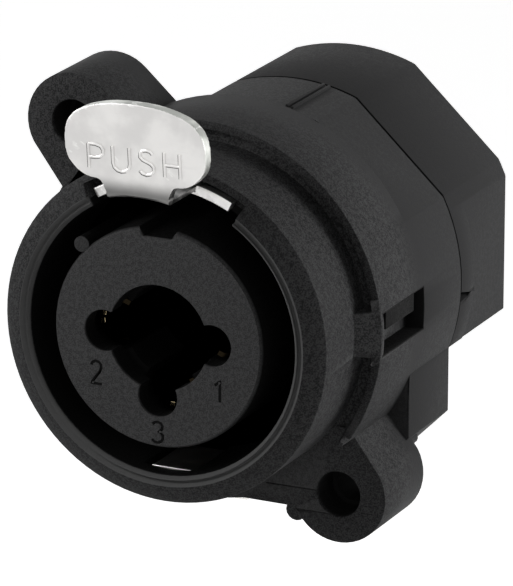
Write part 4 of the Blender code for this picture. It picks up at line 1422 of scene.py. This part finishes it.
@dataclass
class FrontHousing(MouldedShell):
    """The front shell, with the chamfered inner edge of the rim that the shell finish paints lighter, the
    set-back shoulder and the lower ear's lines.
    """

    node: str = "front_shell"
    name: str = "front_housing"
    rim_edge: Point = (10.83 * MM, -7.5 * MM)
    rim_inner: Point = (10.13 * MM, -6.8 * MM)
    rim_steps: int = 160
    collar: float = 11.8 * MM
    shoulder_front: float = -0.95 * MM
    key_foot: float = -1.9 * MM
    key_top: float = 13.4 * MM
    facet: float = 3.75
    shoulder_spans: tuple[tuple[float, float], ...] = ((-33.75, -7.5), (11.25, 123.75))
    key_span: tuple[float, float] = (-7.5, 11.25)
    line_width: float = 0.08 * MM
    line_depth: float = 0.1 * MM
    ear_lines: tuple[tuple[float, float, float], ...] = (
        (4.5 * MM, 8.9 * MM, -11.75 * MM), (6.9 * MM, 9.5 * MM, -13.3 * MM))

    def cutters(self) -> list[bpy.types.Object]:
        """The solids that cut the rim's inner edge, the shoulder's front and the ear's lines."""
        clear, wall = -8.5 * MM, 10.0 * MM
        profile = [(wall, clear), (self.rim_edge[0], clear), self.rim_edge, self.rim_inner,
                   (wall, self.rim_inner[1])]
        made = [lathe("rim_cutter", profile, self.rim_steps)]
        before, beyond, face = -4.2 * MM, 14.2 * MM, self.shoulder_front
        past = self.collar + 0.01 * MM
        outer = [(beyond, face), (beyond, before)]
        sections = [(span, [(past, before), (past, face)] + outer) for span in self.shoulder_spans]
        sections.append((self.key_span, [(self.collar, before), (self.collar, self.key_foot),
                                         (self.key_top, face)] + outer))
        for (start, end), section in sections:
            steps = round((end - start) / self.facet)
            made.append(lathe("shoulder_cutter", section, steps, start, end))
        half = self.line_width / 2
        for left, right, z in self.ear_lines:
            work = bmesh.new()
            add_prism(work, box(left, right, z - half, z + half), -0.5 * MM, self.line_depth)
            made.append(as_piece("line_cutter", work))
        return made


# Stage, light and camera


def outward(azimuth: float, elevation: float) -> Vector:
    """The direction from the socket to a place seen at two angles, in degrees."""
    turn, rise = math.radians(azimuth), math.radians(elevation)
    return Vector((math.sin(turn) * math.cos(rise), -math.cos(turn) * math.cos(rise), math.sin(rise)))


@dataclass
class PhotoCamera:
    """The camera at the photograph's viewing angle."""

    azimuth: float = 24.91
    elevation: float = 17.25
    roll: float = 0.16
    distance: float = 392.0 * MM
    aside: float = -6.09 * MM
    above: float = -2.70 * MM
    target_y: float = -6.3 * MM
    focal_pixels: float = 5897.0
    image_height: float = 586.0
    sensor: float = 36.0

    def build(self) -> None:
        """Builds the camera and makes it the scene's own."""
        turn, roll = math.radians(self.azimuth), math.radians(self.roll)
        back = outward(self.azimuth, self.elevation)
        level = Vector((math.cos(turn), math.sin(turn), 0.0))
        upright = back.cross(level)
        right = level * math.cos(roll) + upright * math.sin(roll)
        up = upright * math.cos(roll) - level * math.sin(roll)
        target = Vector((0.0, self.target_y, 0.0))
        place = back * self.distance - right * self.aside - up * self.above + target
        data = bpy.data.cameras.new("photo_camera")
        data.sensor_width = self.sensor
        data.lens = self.focal_pixels * self.sensor / self.image_height
        data.clip_start = 0.01
        data.clip_end = 20.0
        camera = bpy.data.objects.new("photo_camera", data)
        frame = Matrix((right, up, back)).transposed().to_4x4()
        camera.matrix_world = Matrix.Translation(place) @ frame
        bpy.context.scene.collection.objects.link(camera)
        bpy.context.scene.camera = camera


@dataclass(frozen=True)
class SoftLamp:
    """A square soft box. Its level is what a white face turned to it shows."""

    name: str
    azimuth: float
    elevation: float
    level: float
    size: float = 0.14
    distance: float = 0.4

    def build(self) -> None:
        """Builds the lamp, facing the socket."""
        place = outward(self.azimuth, self.elevation)
        data = bpy.data.lights.new(self.name, "AREA")
        data.size = self.size
        data.energy = self.level * (math.pi * self.distance) ** 2
        lamp = bpy.data.objects.new(self.name, data)
        lamp.visible_camera = False
        facing = place.to_track_quat("Z", "Y").to_matrix().to_4x4()
        lamp.matrix_world = Matrix.Translation(place * self.distance) @ facing
        bpy.context.scene.collection.objects.link(lamp)


@dataclass
class Studio:
    """The pale floor, the white surround and the lamps."""

    floor_z: float = -30.0 * MM
    floor_size: float = 3.0
    floor_glow: float = 0.8
    ambient: float = 0.08
    lamps: tuple[SoftLamp, ...] = (
        SoftLamp("front_box", 20.0, 25.0, 0.07),
        SoftLamp("upper_left_box", -50.0, 30.0, 0.38, size=0.03, distance=0.07),
        SoftLamp("right_box", 110.0, 15.0, 0.6, size=0.03, distance=0.075),
        SoftLamp("left_box", -110.0, 25.0, 0.09),
        SoftLamp("back_box", 180.0, 60.0, 0.06),
    )

    def white_to_view(self, tree: bpy.types.NodeTree) -> Socket:
        """A mask that is 1 where the camera, a reflection or glass sees the surface itself."""
        rays = tree.nodes.new("ShaderNodeLightPath")
        seen = rays.outputs["Is Camera Ray"]
        for other in ("Is Glossy Ray", "Is Transmission Ray"):
            either = tree.nodes.new("ShaderNodeMath")
            either.operation = "MAXIMUM"
            tree.links.new(seen, either.inputs[0])
            tree.links.new(rays.outputs[other], either.inputs[1])
            seen = either.outputs[0]
        return seen

    def build_world(self) -> None:
        """White where it is seen, and a low soft light on the socket."""
        world = bpy.data.worlds.new("studio_world")
        world.use_nodes = True
        tree = world.node_tree
        shine = tree.nodes["Background"]
        shine.inputs["Color"].default_value = (1.0, 1.0, 1.0, 1.0)
        strength = tree.nodes.new("ShaderNodeMapRange")
        tree.links.new(self.white_to_view(tree), strength.inputs["Value"])
        strength.inputs["To Min"].default_value = self.ambient
        strength.inputs["To Max"].default_value = 1.0
        tree.links.new(strength.outputs["Result"], shine.inputs["Strength"])
        bpy.context.scene.world = world

    def build_floor(self) -> None:
        """A wide pale floor below the socket, which keeps a soft shadow."""
        work = bmesh.new()
        half = self.floor_size / 2
        corners = box(-half, half, -half, half)
        work.faces.new([work.verts.new((x, y, self.floor_z)) for x, y in corners])
        floor = as_piece("pale_floor", work)
        made = MaterialBuilder("pale_floor_paint")
        made.shader.inputs["Base Color"].default_value = (0.82, 0.82, 0.82, 1.0)
        made.shader.inputs["Roughness"].default_value = 0.9
        made.shader.inputs["Specular IOR Level"].default_value = 0.1
        made.shader.inputs["Emission Color"].default_value = (1.0, 1.0, 1.0, 1.0)
        glow = made.tree.nodes.new("ShaderNodeMath")
        glow.operation = "MULTIPLY"
        glow.inputs[1].default_value = self.floor_glow
        made.link(self.white_to_view(made.tree), glow.inputs[0])
        made.link(glow.outputs[0], made.shader.inputs["Emission Strength"])
        floor.data.materials.append(made.material)

    def build(self) -> None:
        """Builds the whole studio."""
        bpy.context.scene.view_settings.view_transform = "Standard"
        self.build_world()
        self.build_floor()
        for lamp in self.lamps:
            lamp.build()


NODE_FINISHES = {
    Coat.SHELL: ("front_shell", "rear_shell"),
    Coat.INSERT: ("contact_insert",),
    Coat.CARRIER: ("jack_carrier",),
    Coat.LATCH: ("latch_lever",),
    Coat.CONTACT: ("plug_contact_1", "plug_contact_2", "plug_contact_3"),
    Coat.STRIP: ("jack_tip_spring", "jack_ring_spring", "jack_sleeve_spring", "ground_spring",
                 "latch_spring"),
}


def main() -> None:
    """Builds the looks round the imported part."""
    logging.basicConfig(level=logging.INFO, format="%(name)s: %(message)s")
    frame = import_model()
    PhotoCamera().build()
    Studio().build()
    dresser = Dresser.build()
    for coat, names in NODE_FINISHES.items():
        for name in names:
            dresser.coat(frame["nodes"][name], coat)
    PushLatch().build(dresser)
    InsertFace().build(dresser)
    PaintedContactGlints().build(dresser)
    GroundLip().build(dresser)
    LatchLeaf().build(frame, dresser)
    FrontHousing().build(frame, dresser)
    MouldedShell("rear_shell", "rear_housing").build(frame, dresser)


if __name__ == "__main__":
    main()
